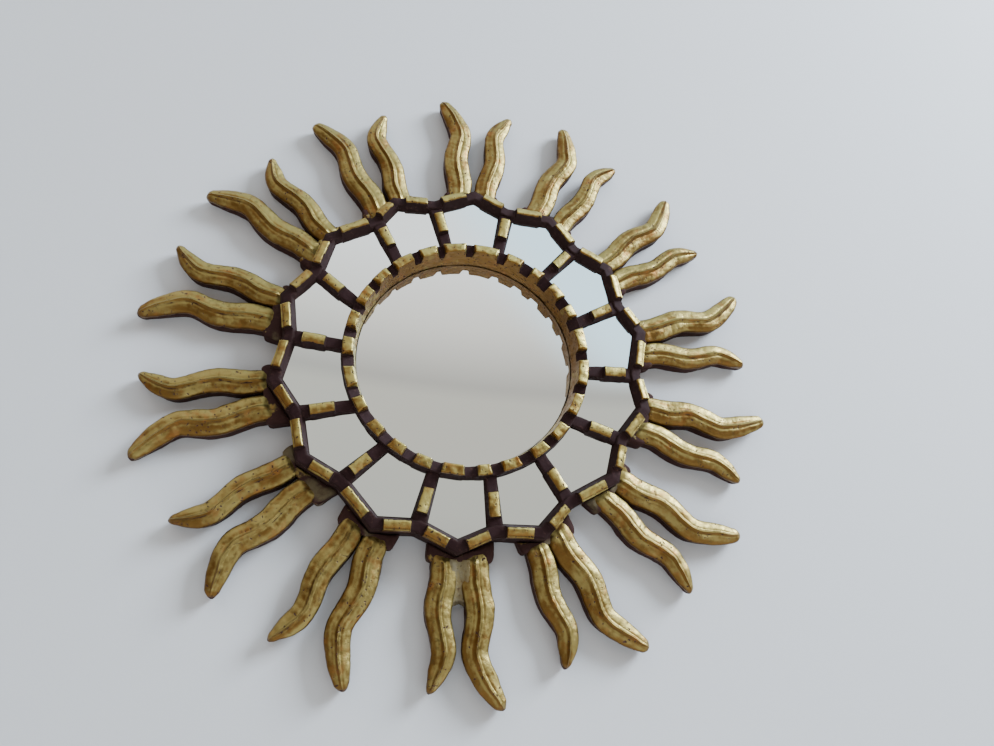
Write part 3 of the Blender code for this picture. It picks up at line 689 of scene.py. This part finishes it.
def spoke_skin(index, draw):
    """The trapezoid section carried from the ring to the junction, raised where the land is."""
    foot = RING_OUTER_RADIUS * bearing_way(PANELS[index][0])
    junction = JUNCTION_RADIUS * bearing_way(PANELS[index][1])
    along = junction - foot
    square = np.array([along[1], -along[0]]) / np.linalg.norm(along)
    spread_in, spread_out = SPOKE_LAND_SPREADS
    start = RING_OUTER_RADIUS + SPOKE_BARE_LENGTHS[0] + draw.uniform(-spread_in, spread_in)
    end = JUNCTION_RADIUS - SPOKE_BARE_LENGTHS[1] + draw.uniform(-spread_out, spread_out)
    radius = np.concatenate([
        np.linspace(SPOKE_START_RADIUS, start - CLOSE_OUTSIDE, 9)[:-1],
        np.linspace(start - CLOSE_OUTSIDE, start + CLOSE_INSIDE, 9)[:-1],
        np.linspace(start + CLOSE_INSIDE, end - CLOSE_INSIDE, 11)[:-1],
        np.linspace(end - CLOSE_INSIDE, end + CLOSE_OUTSIDE, 9)[:-1],
        np.linspace(end + CLOSE_OUTSIDE, JUNCTION_RADIUS, 6),
    ])[:, None]
    high = smooth((radius - start) / SPOKE_LAND_SLOPE) * smooth((end - radius) / SPOKE_LAND_SLOPE)
    low = blend(SPOKE_BARE_HEIGHT, RIM_HEIGHT - RIM_NOTCH_DEPTH - RIM_OUTER_DROP,
                smooth((radius - end) / (JUNCTION_RADIUS - end)))
    crest = blend(low, SPOKE_HEIGHT, high)
    reach = (radius - RING_OUTER_RADIUS) / (JUNCTION_RADIUS - RING_OUTER_RADIUS)
    foot_half = blend(*SPOKE_FOOT_HALF_WIDTHS, reach)

    def half(depth):
        """Half the spoke's width at a depth, on a straight slope."""
        share = (depth - BOARD_THICKNESS) / (SPOKE_HEIGHT - BOARD_THICKNESS)
        return blend(foot_half, SPOKE_HALF_WIDTH_TOP, share)

    rise = blend(BOARD_THICKNESS - BURIED, crest - EDGE_ROUND, SPOKE_WALL)
    rubbed = rounding(SPOKE_TOP, SPOKE_EDGE_SHARE)
    top = crest - EDGE_ROUND * rubbed
    top = top + SPOKE_CROWN * high * (1.0 - (2.0 * SPOKE_TOP - 1.0) ** 2)
    depth = np.concatenate([rise, top, rise[:, ::-1]], axis=1)
    across_top = half(crest) * (2.0 * SPOKE_TOP - 1.0)
    across = np.concatenate([-half(rise), across_top, half(rise)[:, ::-1]], axis=1)
    plan = foot + reach[..., None] * along + across[..., None] * square
    wall_gilt = high * smooth(1.0 - (crest - rise) / INNER_LEAF)
    gilt = np.concatenate([wall_gilt, np.tile(high, len(SPOKE_TOP)), wall_gilt[:, ::-1]], axis=1)
    edge = np.tile(4.0 * high * (1.0 - high), len(SPOKE_TOP)) + 0.8 * rubbed
    side = np.full_like(rise, WALL_GRIME)
    grime_and_shade = np.concatenate([side, edge, side], axis=1)
    return skin(hand_cut(in_space(plan, depth), 200 + 20 * index), {"gilt": gilt, "grime_and_shade": grime_and_shade})


def board_skin():
    """The rim's outline as a flat board, with a round well for the glass and a bare, paler back."""
    corner = np.stack([rim_corner(index, RIM_WALL_OFFSET - BURIED) for index in range(len(RIM_CORNERS))])
    share = np.linspace(0.0, 1.0, 9)[:-1, None]
    edge = np.concatenate([blend(corner[index], corner[(index + 1) % len(corner)], share)
                           for index in range(len(corner))])
    way = edge / np.linalg.norm(edge, axis=1, keepdims=True)
    rows = ((edge - way * BACK_RIM, 0.0), (edge, 0.0), (edge, BOARD_THICKNESS),
            (way * WELL_RADIUS, BOARD_THICKNESS), (way * WELL_RADIUS, WELL_FLOOR))
    grid = np.stack([in_space(plan, depth) for plan, depth in rows])
    bare = np.zeros((len(rows), len(edge)))
    dust = bare.copy()
    dust[0] = BACK_DUST
    return skin(grid, {"gilt": bare, "grime_and_shade": bare, "dust": dust})


spoke_draw = np.random.default_rng(33)
SPOKES = [spoke_skin(index, spoke_draw) for index in range(len(PANELS))]
carved_frame = make_piece("carved_frame", [RING, RIM, *SPOKES, board_skin()], FRAME_GILDING, "frame", 42.0)

# %% [markdown]
# ## The forked rays
#
# Each ray is a flame that was sawn from thin board and carved to a middle rib with a groove on
# either side. It waves once, hooks outwards at its tip, and its walls are undercut towards the tip
# so that it seems to float. Two rays share a dark root block against the rim.
# The centreline is a straight line plus a sine wave plus a power curve for the hook, and the section
# stays square to it.

# %% One ray
ROOT_REACH = 0.0077
RAY_BACK_DEPTH = 0.0006
RAY_EDGE_HEIGHT = 0.0105
RAY_RIB_HEIGHT = 0.0140
RAY_WIDTHS = {-1.0: 0.0176, 1.0: 0.0160}
HOOK_STARTS = {-1.0: 0.61, 1.0: 0.70}
RAY_WAVE = 0.0016
RAY_WAVE_LENGTH = 0.0440
RAY_WAVE_START = 0.0080
RAY_HOOK_POWER = 1.9
RAY_ROOT_OVERLAP = 0.0012
RAY_ROOT_GAP = 0.0008
RAY_ROOT_ZONE = 0.0070
TIP_BACK_SHARE = 0.55
TIP_START = 0.957
TIP_NARROWING = {-1.0: 0.10, 1.0: 0.34}
NARROWING_START = 0.84
RIB_FADE_START = 0.86
WORN_TIP_START = 0.965
STREAK_LENGTH = 0.0032
RIB_FADE = 0.6
RIB_FADE_LENGTH = 0.12
RAY_CORNER = 0.0005
# A tip shrinks towards this share of the edge's height, and its last row stops just short of a point
TIP_MIDDLE_SHARE = 0.45
TIP_LAST_ROW = 0.985
# Size and wave length of the slow waves in a ray's width, edge, rib, rib line, leaf edge and painted groove
# shade
WIDTH_SWAY = (0.04, 0.020)
EDGE_SWAY = (0.0004, 0.016)
RIB_SWAY = (0.0003, 0.012)
RIB_WANDER = (0.10, 0.030)
LEAF_SWAY = (0.14, 0.012)
GROOVE_SHADE_SWAY = (1.2, 0.010)
# Painted shade: the groove line is painted darker on the side that looks down and to the right, away from
# the upper light
SHADE_WAY = np.array([0.50, -0.87])
GROOVE_PLACE = 0.17
GROOVE_WIDTH = 0.050
# Share of the length, of the full width and of the full height
RAY_STATIONS = np.array([
    (-0.025, 0.88, 0.80), (0.03, 0.93, 1.00), (0.17, 1.00, 1.00), (0.31, 0.99, 1.00),
    (0.44, 0.95, 1.00), (0.57, 0.89, 1.00), (0.69, 0.88, 0.98), (0.80, 0.82, 0.95),
    (0.90, 0.69, 0.90), (0.965, 0.52, 0.84), (1.00, 0.34, 0.78),
]).T
# Places across a ray, closer together near the rib
EVEN_PLACES = np.linspace(-1.0, 1.0, 31)
RAY_TOP = 0.45 * EVEN_PLACES + 0.55 * EVEN_PLACES ** 3
RAY_WALL = np.array([0.07, 0.15, 0.30, 0.50, 0.75, 1.0])
RAY_UNDER = np.array([0.5, 0.0, -0.5])
ROOT_ROWS_END = 0.003


def ray_centre(ray, side, distance):
    """root + way * distance + right * side * (wave * (1 - t) + hook * t ^ 1.9), t along the hook."""
    root, lean, share, hook, _ = ray
    length = share * RAY_LENGTH
    start = HOOK_STARTS[side] * length
    t = np.clip((distance - start) / (length - start), 0.0, None)
    phase = 2.0 * np.pi * np.clip(distance - RAY_WAVE_START, 0.0, None) / RAY_WAVE_LENGTH
    curl = -RAY_WAVE * np.cos(phase) * (1.0 - t) + hook * RAY_LENGTH * t ** RAY_HOOK_POWER
    foot = np.array([root * RAY_LENGTH, PEAK_RADIUS + ROOT_REACH])
    return foot + distance[:, None] * bearing_way(lean) + side * curl[:, None] * bearing_way(lean + 90.0)


def ray_top(u):
    """Two slopes that round off at the edges, a sharp rib between them and a faint groove beside it."""
    away = np.abs(u)
    slopes = 0.60 * (1.0 - away ** 1.9)
    rib = 0.40 * np.exp(-((away / 0.12) ** 1.3))
    groove = 0.09 * np.exp(-(((away - 0.22) / 0.09) ** 2))
    return slopes + rib - groove


def outer_wall(index, gap):
    """The rim's outer wall near one pair, a gap out from it, with the peak turned straight up."""
    walls = np.stack([rim_corner(2 * index + step, RIM_WALL_OFFSET + gap) for step in range(-1, 4)])
    return turn(in_space(walls, 0.0), -PANELS[index][2])


def reach_rim(plan, distance, index, reach):
    """Stretches the first rows of a ray, so that the root ends along the rim's wall."""
    walls = outer_wall(index, RAY_ROOT_GAP)
    zone = distance <= RAY_ROOT_ZONE
    last = plan[zone][-1]
    share = ((distance[zone] + RAY_ROOT_OVERLAP) / (distance[zone][-1] + RAY_ROOT_OVERLAP))[:, None]
    along = plan[zone][..., 1]
    wall = np.interp(plan[zone][..., 0], walls[:, 0], walls[:, 2])
    stretched = plan.copy()
    stretched[zone, :, 1] = blend(along, blend(wall, last[None, :, 1], share), reach)
    return stretched


def ray_distances(length):
    """Distances from the root, closer together at the root and towards the very tip."""
    into_tip = np.sin(np.linspace(0.0, 0.5 * np.pi * TIP_LAST_ROW, 16))
    return np.concatenate([
        np.linspace(-RAY_ROOT_OVERLAP, ROOT_ROWS_END, 9)[:-1],
        np.linspace(ROOT_ROWS_END, TIP_START * length, 108)[:-1],
        length * (TIP_START + (1.0 - TIP_START) * into_tip),
    ])


def ray_girth(share, side):
    """Width and height at each share of the length, softened between the stations."""
    stations = [np.interp(share, RAY_STATIONS[0], RAY_STATIONS[place]) for place in (1, 2)]
    weights = np.hanning(11) / np.hanning(11).sum()
    padded = [np.pad(row, 5, mode="edge") for row in stations]
    width, height = (np.convolve(row, weights, mode="valid") for row in padded)
    narrowing = smooth((share - NARROWING_START) / (1.0 - NARROWING_START))
    return (width * (1.0 - TIP_NARROWING[side] * narrowing))[:, None], height[:, None]


def rib_fade(share):
    """1 along the ray, and less where the rib runs out before the tip."""
    return 1.0 - RIB_FADE * smooth((share - RIB_FADE_START) / RIB_FADE_LENGTH)


def ray_masks(index, distance, share, marks, right, across, seed):
    """Leaf on the top and down the walls to a wavy line, painted shade in the grooves, streaks lengthwise.
    """
    line = 0.16 + sway(marks, LEAF_SWAY, seed + 4)
    line = line + 0.25 * smooth((share - 0.80) / 0.2)
    worn_tip = 1.0 - 0.65 * smooth((share - WORN_TIP_START) / (1.0 - WORN_TIP_START))
    wall_gilt = smooth(1.0 - (RAY_WALL - line) / 0.12) * worn_tip
    top_gilt = np.ones((len(share), len(RAY_TOP))) * worn_tip
    bare = np.zeros((len(share), len(RAY_UNDER)))
    gilt = np.concatenate([top_gilt, wall_gilt, bare, wall_gilt[:, ::-1]], axis=1)
    # Painted shade: a dark line in the groove beside the rib, heavier on the side turned from the upper
    # light
    stripe = np.exp(-(((np.abs(RAY_TOP) - GROOVE_PLACE) / GROOVE_WIDTH) ** 2))
    below = turn(in_space(SHADE_WAY, 0.0), -PANELS[index][2])[[0, 2]]
    away_from_light = np.clip(0.35 + (right @ below)[:, None] * np.sign(RAY_TOP), 0.05, 1.0)
    groove_shade_strength = np.clip(0.75 + sway(marks, GROOVE_SHADE_SWAY, seed + 5), 0.0, 1.3)
    top_grime_and_shade = stripe * groove_shade_strength * away_from_light * rib_fade(share)
    top_grime_and_shade = top_grime_and_shade + 0.5 * smooth((np.abs(RAY_TOP) - 0.90) / 0.10)
    side_grime = np.full((len(share), len(RAY_WALL)), WALL_GRIME)
    grime_and_shade = np.concatenate([top_grime_and_shade, side_grime, bare, side_grime], axis=1)
    lengthwise = np.stack([across, 0.10 * distance[:, None] + 0.0 * across, 0.0 * across], axis=-1)
    return {"gilt": gilt, "grime_and_shade": grime_and_shade, "streak": 1.5 * waves(lengthwise, STREAK_LENGTH, seed + 7)}


def ray_skin(index, side, seed):
    """The section (top, wall, back, wall) along the centreline, rounded off at the tip."""
    ray = PANELS[index][3 if side < 0.0 else 4]
    length = ray[2] * RAY_LENGTH
    distance = ray_distances(length)
    centre = ray_centre(ray, side, distance)
    way = np.gradient(centre, distance, axis=0)
    way /= np.linalg.norm(way, axis=1, keepdims=True)
    right = np.stack([way[:, 1], -way[:, 0]], axis=1)
    marks = in_space(centre, 0.0)
    width, height = ray_girth(distance / length, side)
    share = (distance / length)[:, None]
    past = np.clip((share - TIP_START) / (1.0 - TIP_START), 0.0, 1.0)
    tip = np.sqrt(1.0 - past ** 2)
    half = 0.5 * RAY_WIDTHS[side] * width * tip * (1.0 + sway(marks, WIDTH_SWAY, seed))
    edge = RAY_EDGE_HEIGHT * height + sway(marks, EDGE_SWAY, seed + 1)
    rib = RAY_RIB_HEIGHT * height + sway(marks, RIB_SWAY, seed + 2)

    fade = rib_fade(share)
    wander = sway(marks, RIB_WANDER, seed + 3) * (1.0 - RAY_TOP ** 2)
    corner = RAY_CORNER * tip * np.sign(RAY_TOP) * (np.abs(RAY_TOP) > 0.999)
    across_top = half * (RAY_TOP + wander) - corner
    shape = ray_top(RAY_TOP) * fade + 0.55 * (1.0 - fade) * (1.0 - RAY_TOP ** 2)
    begun = smooth((distance[:, None] + RAY_ROOT_OVERLAP) / RAY_ROOT_ZONE)
    depth_top = edge + (rib - edge) * blend(0.72 * (1.0 - RAY_TOP ** 6), shape, begun)
    back_half = half * blend(1.0, TIP_BACK_SHARE, np.clip(share, 0.0, 1.0) ** 3)
    across_wall = blend(half, back_half, RAY_WALL)
    depth_wall = blend(edge, RAY_BACK_DEPTH, RAY_WALL)
    across = np.concatenate([across_top, across_wall, back_half * RAY_UNDER, -across_wall[:, ::-1]],
                            axis=1)
    depth = np.concatenate([depth_top, depth_wall, RAY_BACK_DEPTH + 0.0 * half * RAY_UNDER,
                            depth_wall[:, ::-1]], axis=1)
    middle = TIP_MIDDLE_SHARE * RAY_EDGE_HEIGHT
    depth = middle + (depth - middle) * tip
    plan = centre[:, None, :] + across[..., None] * right[:, None, :]
    plan = reach_rim(plan, distance, index, ray[4])
    masks = ray_masks(index, distance, share, marks, right, across, seed)
    return skin(hand_cut(in_space(plan, depth), seed + 6), masks)


print("points around a ray:", len(RAY_TOP) + 2 * len(RAY_WALL) + len(RAY_UNDER))

# %% [markdown]
# ## Root blocks and the web
#
# Two rays grow from one dark block that butts against the rim, a hair away from it.
# Its section is a rounded bar, carried from the left of the pair to the right, and its inner side
# follows the rim's own outline. At the bottom of the mirror the carver left a web between the two roots.

# %% Root block and web
CLEARANCE = 0.0003
BLOCK_THICKNESS = 0.0112
BLOCK_REACH = 0.0015
BLOCK_MARGIN = 0.0007
BLOCK_ROUND = 0.0012
BLOCK_END_ROUND = 0.003
BLOCK_END_DROP = 0.0016
BLOCK_SWAY = (0.0007, 0.014)
BLOCK_SPOT_LENGTH = 0.016
# Pair number and how much more tan film its block has
DUSTY_BLOCKS = {5: 0.30, 9: 0.40}
WEB_PAIR = 7
WEB_REACH = 0.0285
WEB_THICKNESS = 0.0123
WEB_INSET = 0.0034
WEB_BACK_DEPTH = 0.0012
WEB_HOLLOW = 0.0012
WEB_END_DROP = 0.0026
WEB_ARCH = 0.0056
WEB_ARCH_START = 0.012
WEB_ARCH_LENGTH = 0.014
BLOCK_RISE = np.array([0.0, 0.3, 0.6, 0.85, 1.0])
BLOCK_TOP = np.linspace(0.0, 1.0, 9)


def block_skin(index, seed):
    """At each place across, a section from the rim's wall out to the block's straight outer edge."""
    walls = outer_wall(index, CLEARANCE)
    long_ray, short_ray = PANELS[index][3:]
    left = long_ray[0] * RAY_LENGTH - RAY_WIDTHS[-1.0] / 2.0 - BLOCK_MARGIN
    right = short_ray[0] * RAY_LENGTH + RAY_WIDTHS[1.0] / 2.0 + BLOCK_MARGIN
    across = np.linspace(left, right, 72)[:, None]
    inner = np.interp(across, walls[:, 0], walls[:, 2])
    from_end = np.clip(1.0 - np.minimum(across - left, right - across) / BLOCK_END_ROUND, 0.0, 1.0)
    outer = PEAK_RADIUS + ROOT_REACH + BLOCK_REACH - BLOCK_END_ROUND * (1.0 - np.sqrt(1.0 - from_end ** 2))
    corner = in_space(np.concatenate([across, outer], axis=1), 0.0)
    outer = outer + sway(corner, BLOCK_SWAY, seed)
    crest = BLOCK_THICKNESS - BLOCK_END_DROP * from_end ** 3
    rise = blend(0.0, crest - BLOCK_ROUND, BLOCK_RISE)
    top = crest - BLOCK_ROUND * rounding(BLOCK_TOP, 0.20)
    under = blend(outer, inner, np.array([0.35, 0.7]))
    along = np.concatenate([inner + 0.0 * rise, blend(inner, outer, BLOCK_TOP), outer + 0.0 * rise, under],
                           axis=1)
    depth = np.concatenate([rise, top, rise[:, ::-1], 0.0 * under], axis=1)
    plan = np.stack([across + 0.0 * along, along], axis=-1)
    spots = waves(in_space(plan, depth), BLOCK_SPOT_LENGTH, seed + 2)
    dust = np.clip(-0.9 * spots - 0.05 + DUSTY_BLOCKS.get(index + 1, 0.0), 0.0, 0.8)
    masks = {"gilt": np.clip(0.20 + 0.9 * spots, 0.0, 0.6), "grime_and_shade": np.full_like(spots, 0.25), "dust": dust}
    return skin(hand_cut(in_space(plan, depth), seed), masks)


def web_skin(index, seed):
    """At each distance from the root, a dished section from one ray to the other, arched at its end."""
    long_ray, short_ray = PANELS[index][3:]
    distance = np.linspace(0.0, WEB_REACH, 40)
    inset = np.array([WEB_INSET, 0.0])
    left = ray_centre(long_ray, -1.0, distance)[:, None] + inset
    right = ray_centre(short_ray, 1.0, distance)[:, None] - inset
    step = np.linspace(0.0, 1.0, 25)
    begun = smooth((distance[:, None] - WEB_ARCH_START) / WEB_ARCH_LENGTH)
    arch = WEB_ARCH * np.sin(np.pi * step) ** 0.7 * begun
    crest = WEB_THICKNESS - WEB_HOLLOW * np.sin(np.pi * step) ** 2
    crest = crest - WEB_END_DROP * (distance[:, None] / WEB_REACH) ** 2
    top = blend(left, right, step[:, None]) - arch[..., None] * np.array([0.0, 1.0])
    grid = np.concatenate([in_space(top, crest), in_space(top[:, ::-1], WEB_BACK_DEPTH)], axis=1)
    even = np.ones(grid.shape[:2])
    return skin(hand_cut(grid, seed), {"gilt": 0.75 * even, "grime_and_shade": 0.3 * even, "dust": 0.60 * even})


for index in range(len(PANELS)):
    seed = 1000 + 50 * index
    skins = [ray_skin(index, -1.0, seed), ray_skin(index, 1.0, seed + 20),
             block_skin(index, seed + 40)]
    if index + 1 == WEB_PAIR:
        skins.append(web_skin(index, seed + 45))
    for part in skins:
        part["points"] = turn(part["points"], PANELS[index][2])
    node = f"ray_pair_{index + 1:02d}"
    pair = make_piece("carved_" + node, skins, RAY_GILDING, node, 50.0)

# %% [markdown]
# ## The glasses
#
# Old mirror glass is bright silver with a faint haze, and it darkens where damp crept in from the edge.
# The plain solids already have the right outline and flat faces, so they only get their material.

# %% Silvered glass
DAMP_EDGE = (0.22, 0.20, 0.17, 1.0)


def silvered(name, tint, rim_start, rim_end):
    """A clean metal mirror with a slight haze, and a darker band between two radii."""
    material = bpy.data.materials.new(name)
    material.use_nodes = True
    bench = Bench(material.node_tree)
    shader = material.node_tree.nodes["Principled BSDF"]
    place = bench.node("ShaderNodeTexCoord").outputs["Object"]
    haze = bench.noise(place, 60.0, 4.0)
    flat = bench.node("ShaderNodeVectorMath", operation="MULTIPLY")
    bench.put(place, flat.inputs[0])
    flat.inputs[1].default_value = (1.0, 0.0, 1.0)
    radius = bench.node("ShaderNodeVectorMath", operation="LENGTH")
    bench.put(flat.outputs[0], radius.inputs[0])
    ragged = bench.add(radius.outputs["Value"], bench.times(haze, 0.004))
    band = bench.ramp(ragged, rim_start, rim_end, 0.0, 0.55)
    bench.put(bench.mix(band, (*tint, 1.0), DAMP_EDGE), shader.inputs["Base Color"])
    bench.put(bench.ramp(haze, 0.4, 0.8, 0.015, 0.05), shader.inputs["Roughness"])
    shader.inputs["Metallic"].default_value = 1.0
    return material


# The small glasses lie far inside their band, so they stay clear
ROUND_SILVER = silvered("silvered round glass", (0.90, 0.91, 0.90), 0.0715, 0.0735)
PANEL_SILVER = silvered("silvered small glasses", (0.88, 0.91, 0.91), 0.30, 0.31)
for name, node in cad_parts.items():
    if name.startswith(("centre_mirror", "panel_mirror")):
        node.data.materials.clear()
        node.data.materials.append(ROUND_SILVER if name == "centre_mirror" else PANEL_SILVER)
print("glasses:", sum(name.startswith(("centre_mirror", "panel_mirror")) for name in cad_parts))

# %% [markdown]
# ## The wall, the floor and the light
#
# The mirror hangs on a plain pale wall over a plain pale floor. The wall lets light and the eye
# through from behind, so the back can be seen too. The sky around is a soft gradient, because
# the glasses show what stands in front of them: pale and cool towards the upper right, greyer below.

# %% Stage
def plain_surface(name, colour, roughness):
    """A faintly uneven painted surface."""
    material = bpy.data.materials.new(name)
    material.use_nodes = True
    bench = Bench(material.node_tree)
    shader = material.node_tree.nodes["Principled BSDF"]
    place = bench.node("ShaderNodeTexCoord").outputs["Object"]
    cloud = bench.noise(place, 3.0, 3.0)
    darker = tuple(0.96 * value for value in colour)
    bench.put(bench.mix(cloud, (*colour, 1.0), (*darker, 1.0)), shader.inputs["Base Color"])
    shader.inputs["Roughness"].default_value = roughness
    relief = bench.node("ShaderNodeBump")
    relief.inputs["Strength"].default_value = 0.12
    relief.inputs["Distance"].default_value = 0.0004
    bench.put(bench.noise(place, 260.0, 3.0), relief.inputs["Height"])
    bench.put(relief.outputs["Normal"], shader.inputs["Normal"])
    return material


def see_through_from_behind(material):
    """Mixes in a transparent shader for back faces and for shadow rays."""
    bench = Bench(material.node_tree)
    shader = material.node_tree.nodes["Principled BSDF"]
    behind = bench.node("ShaderNodeNewGeometry").outputs["Backfacing"]
    shadow = bench.node("ShaderNodeLightPath").outputs["Is Shadow Ray"]
    clear = bench.node("ShaderNodeBsdfTransparent")
    mixed = bench.node("ShaderNodeMixShader")
    bench.put(bench.math("MAXIMUM", behind, shadow), mixed.inputs[0])
    bench.put(shader.outputs[0], mixed.inputs[1])
    bench.put(clear.outputs[0], mixed.inputs[2])
    bench.put(mixed.outputs[0], material.node_tree.nodes["Material Output"].inputs["Surface"])


def sheet(name, corners, material):
    """A flat four-cornered sheet."""
    mesh = bpy.data.meshes.new(name)
    mesh.from_pydata(corners, [], [(0, 1, 2, 3)])
    mesh.materials.append(material)
    made = bpy.data.objects.new(name, mesh)
    bpy.context.collection.objects.link(made)
    return made


WALL_Y = 0.0006
WALL_TOP = 1.6
FLOOR_Z = -0.95
SIDE = 2.2
FLOOR_FRONT = -3.0
FLOOR_BACK = 2.0
wall_paint = plain_surface("pale wall paint", (0.585, 0.546, 0.543), 0.75)
see_through_from_behind(wall_paint)
sheet("wall", [(-SIDE, WALL_Y, FLOOR_Z), (SIDE, WALL_Y, FLOOR_Z),
               (SIDE, WALL_Y, WALL_TOP), (-SIDE, WALL_Y, WALL_TOP)], wall_paint)
floor_paint = plain_surface("pale floor", (0.62, 0.60, 0.57), 0.6)
sheet("floor", [(-SIDE, FLOOR_FRONT, FLOOR_Z), (SIDE, FLOOR_FRONT, FLOOR_Z),
                (SIDE, FLOOR_BACK, FLOOR_Z), (-SIDE, FLOOR_BACK, FLOOR_Z)], floor_paint)


# %% Light
def soft_light(name, place, size, power, colour, in_glass=True):
    """A large square area light that looks at the mirror's middle, and may show in the glass."""
    data = bpy.data.lights.new(name, "AREA")
    data.shape = "SQUARE"
    data.size = size
    data.energy = power
    data.color = colour
    lamp = bpy.data.objects.new(name, data)
    bpy.context.collection.objects.link(lamp)
    lamp.location = place
    lamp.rotation_euler = (-Vector(place)).to_track_quat("-Z", "Y").to_euler()
    lamp.visible_glossy = in_glass
    return lamp


soft_light("upper light", (1.62, -0.95, 1.14), 0.9, 140.0, (0.69, 0.85, 1.0))
soft_light("back light", (-0.6, 1.5, 0.9), 1.2, 14.0, (1.0, 0.98, 0.95), in_glass=False)


# Height of the direction (0 level, 1 straight up) and its colour
SKY_BANDS = (
    (0.00, (0.38, 0.35, 0.31)),
    (0.17, (0.62, 0.61, 0.55)),
    (0.320, (0.66, 0.65, 0.585)),
    (0.338, (0.555, 0.545, 0.505)),
    (0.41, (0.96, 0.95, 0.895)),
    (0.50, (1.27, 1.30, 1.30)),
    (0.72, (1.30, 1.33, 1.36)),
    (1.00, (1.30, 1.33, 1.36)),
)
SKY_TILT = 0.09
COOL_SKY = (1.08, 1.46, 1.68, 1.0)
WHITE_SIDE = (1.00, 1.00, 1.00, 1.0)
SKY_STRENGTH = 1.15


def build_world():
    """A sky colour by direction, from a ramp over its height, cooler and brighter at the right."""
    world = bpy.data.worlds.new("soft room light")
    bpy.context.scene.world = world
    world.use_nodes = True
    bench = Bench(world.node_tree)
    background = world.node_tree.nodes["Background"]
    way = bench.node("ShaderNodeSeparateXYZ")
    bench.put(bench.node("ShaderNodeTexCoord").outputs["Generated"], way.inputs[0])
    across, up = way.outputs["X"], way.outputs["Z"]
    tilted = bench.add(up, bench.times(across, SKY_TILT))
    bands = bench.node("ShaderNodeValToRGB")
    bench.put(tilted, bands.inputs[0])
    steps = bands.color_ramp.elements
    for place, colour in SKY_BANDS[1:-1]:
        steps.new(place).color = (*colour, 1.0)
    steps[0].position, steps[0].color = SKY_BANDS[0][0], (*SKY_BANDS[0][1], 1.0)
    steps[-1].position, steps[-1].color = SKY_BANDS[-1][0], (*SKY_BANDS[-1][1], 1.0)
    cool = bench.times(bench.ramp(bench.add(across, up), 0.57, 0.71), bench.ramp(up, 0.305, 0.36))
    colour = bench.mix(cool, bands.outputs[0], COOL_SKY)
    white = bench.times(bench.ramp(across, 0.42, 0.80), bench.ramp(up, 0.05, 0.5))
    colour = bench.mix(white, colour, WHITE_SIDE)
    bench.put(colour, background.inputs["Color"])
    background.inputs["Strength"].default_value = SKY_STRENGTH
    return world


build_world()

# %% [markdown]
# ## The camera
#
# The photo was taken from a little left of the mirror and well below it, close enough for some
# perspective, and the camera looked slightly past the middle. The view has no roll.

# %% Camera
CAMERA_PLACE = (-0.0573, -0.4542, -0.1719)
CAMERA_TARGET = (0.0225, 0.0, -0.0028)
camera_data = bpy.data.cameras.new("photo camera")
camera_data.lens = 26.62
camera_data.sensor_width = 36.0
camera = bpy.data.objects.new("photo camera", camera_data)
bpy.context.collection.objects.link(camera)
camera.location = CAMERA_PLACE
look = Vector(CAMERA_TARGET) - Vector(CAMERA_PLACE)
camera.rotation_euler = look.to_track_quat("-Z", "Y").to_euler()
bpy.context.scene.camera = camera
print("camera to target:", round(look.length, 3), "m")
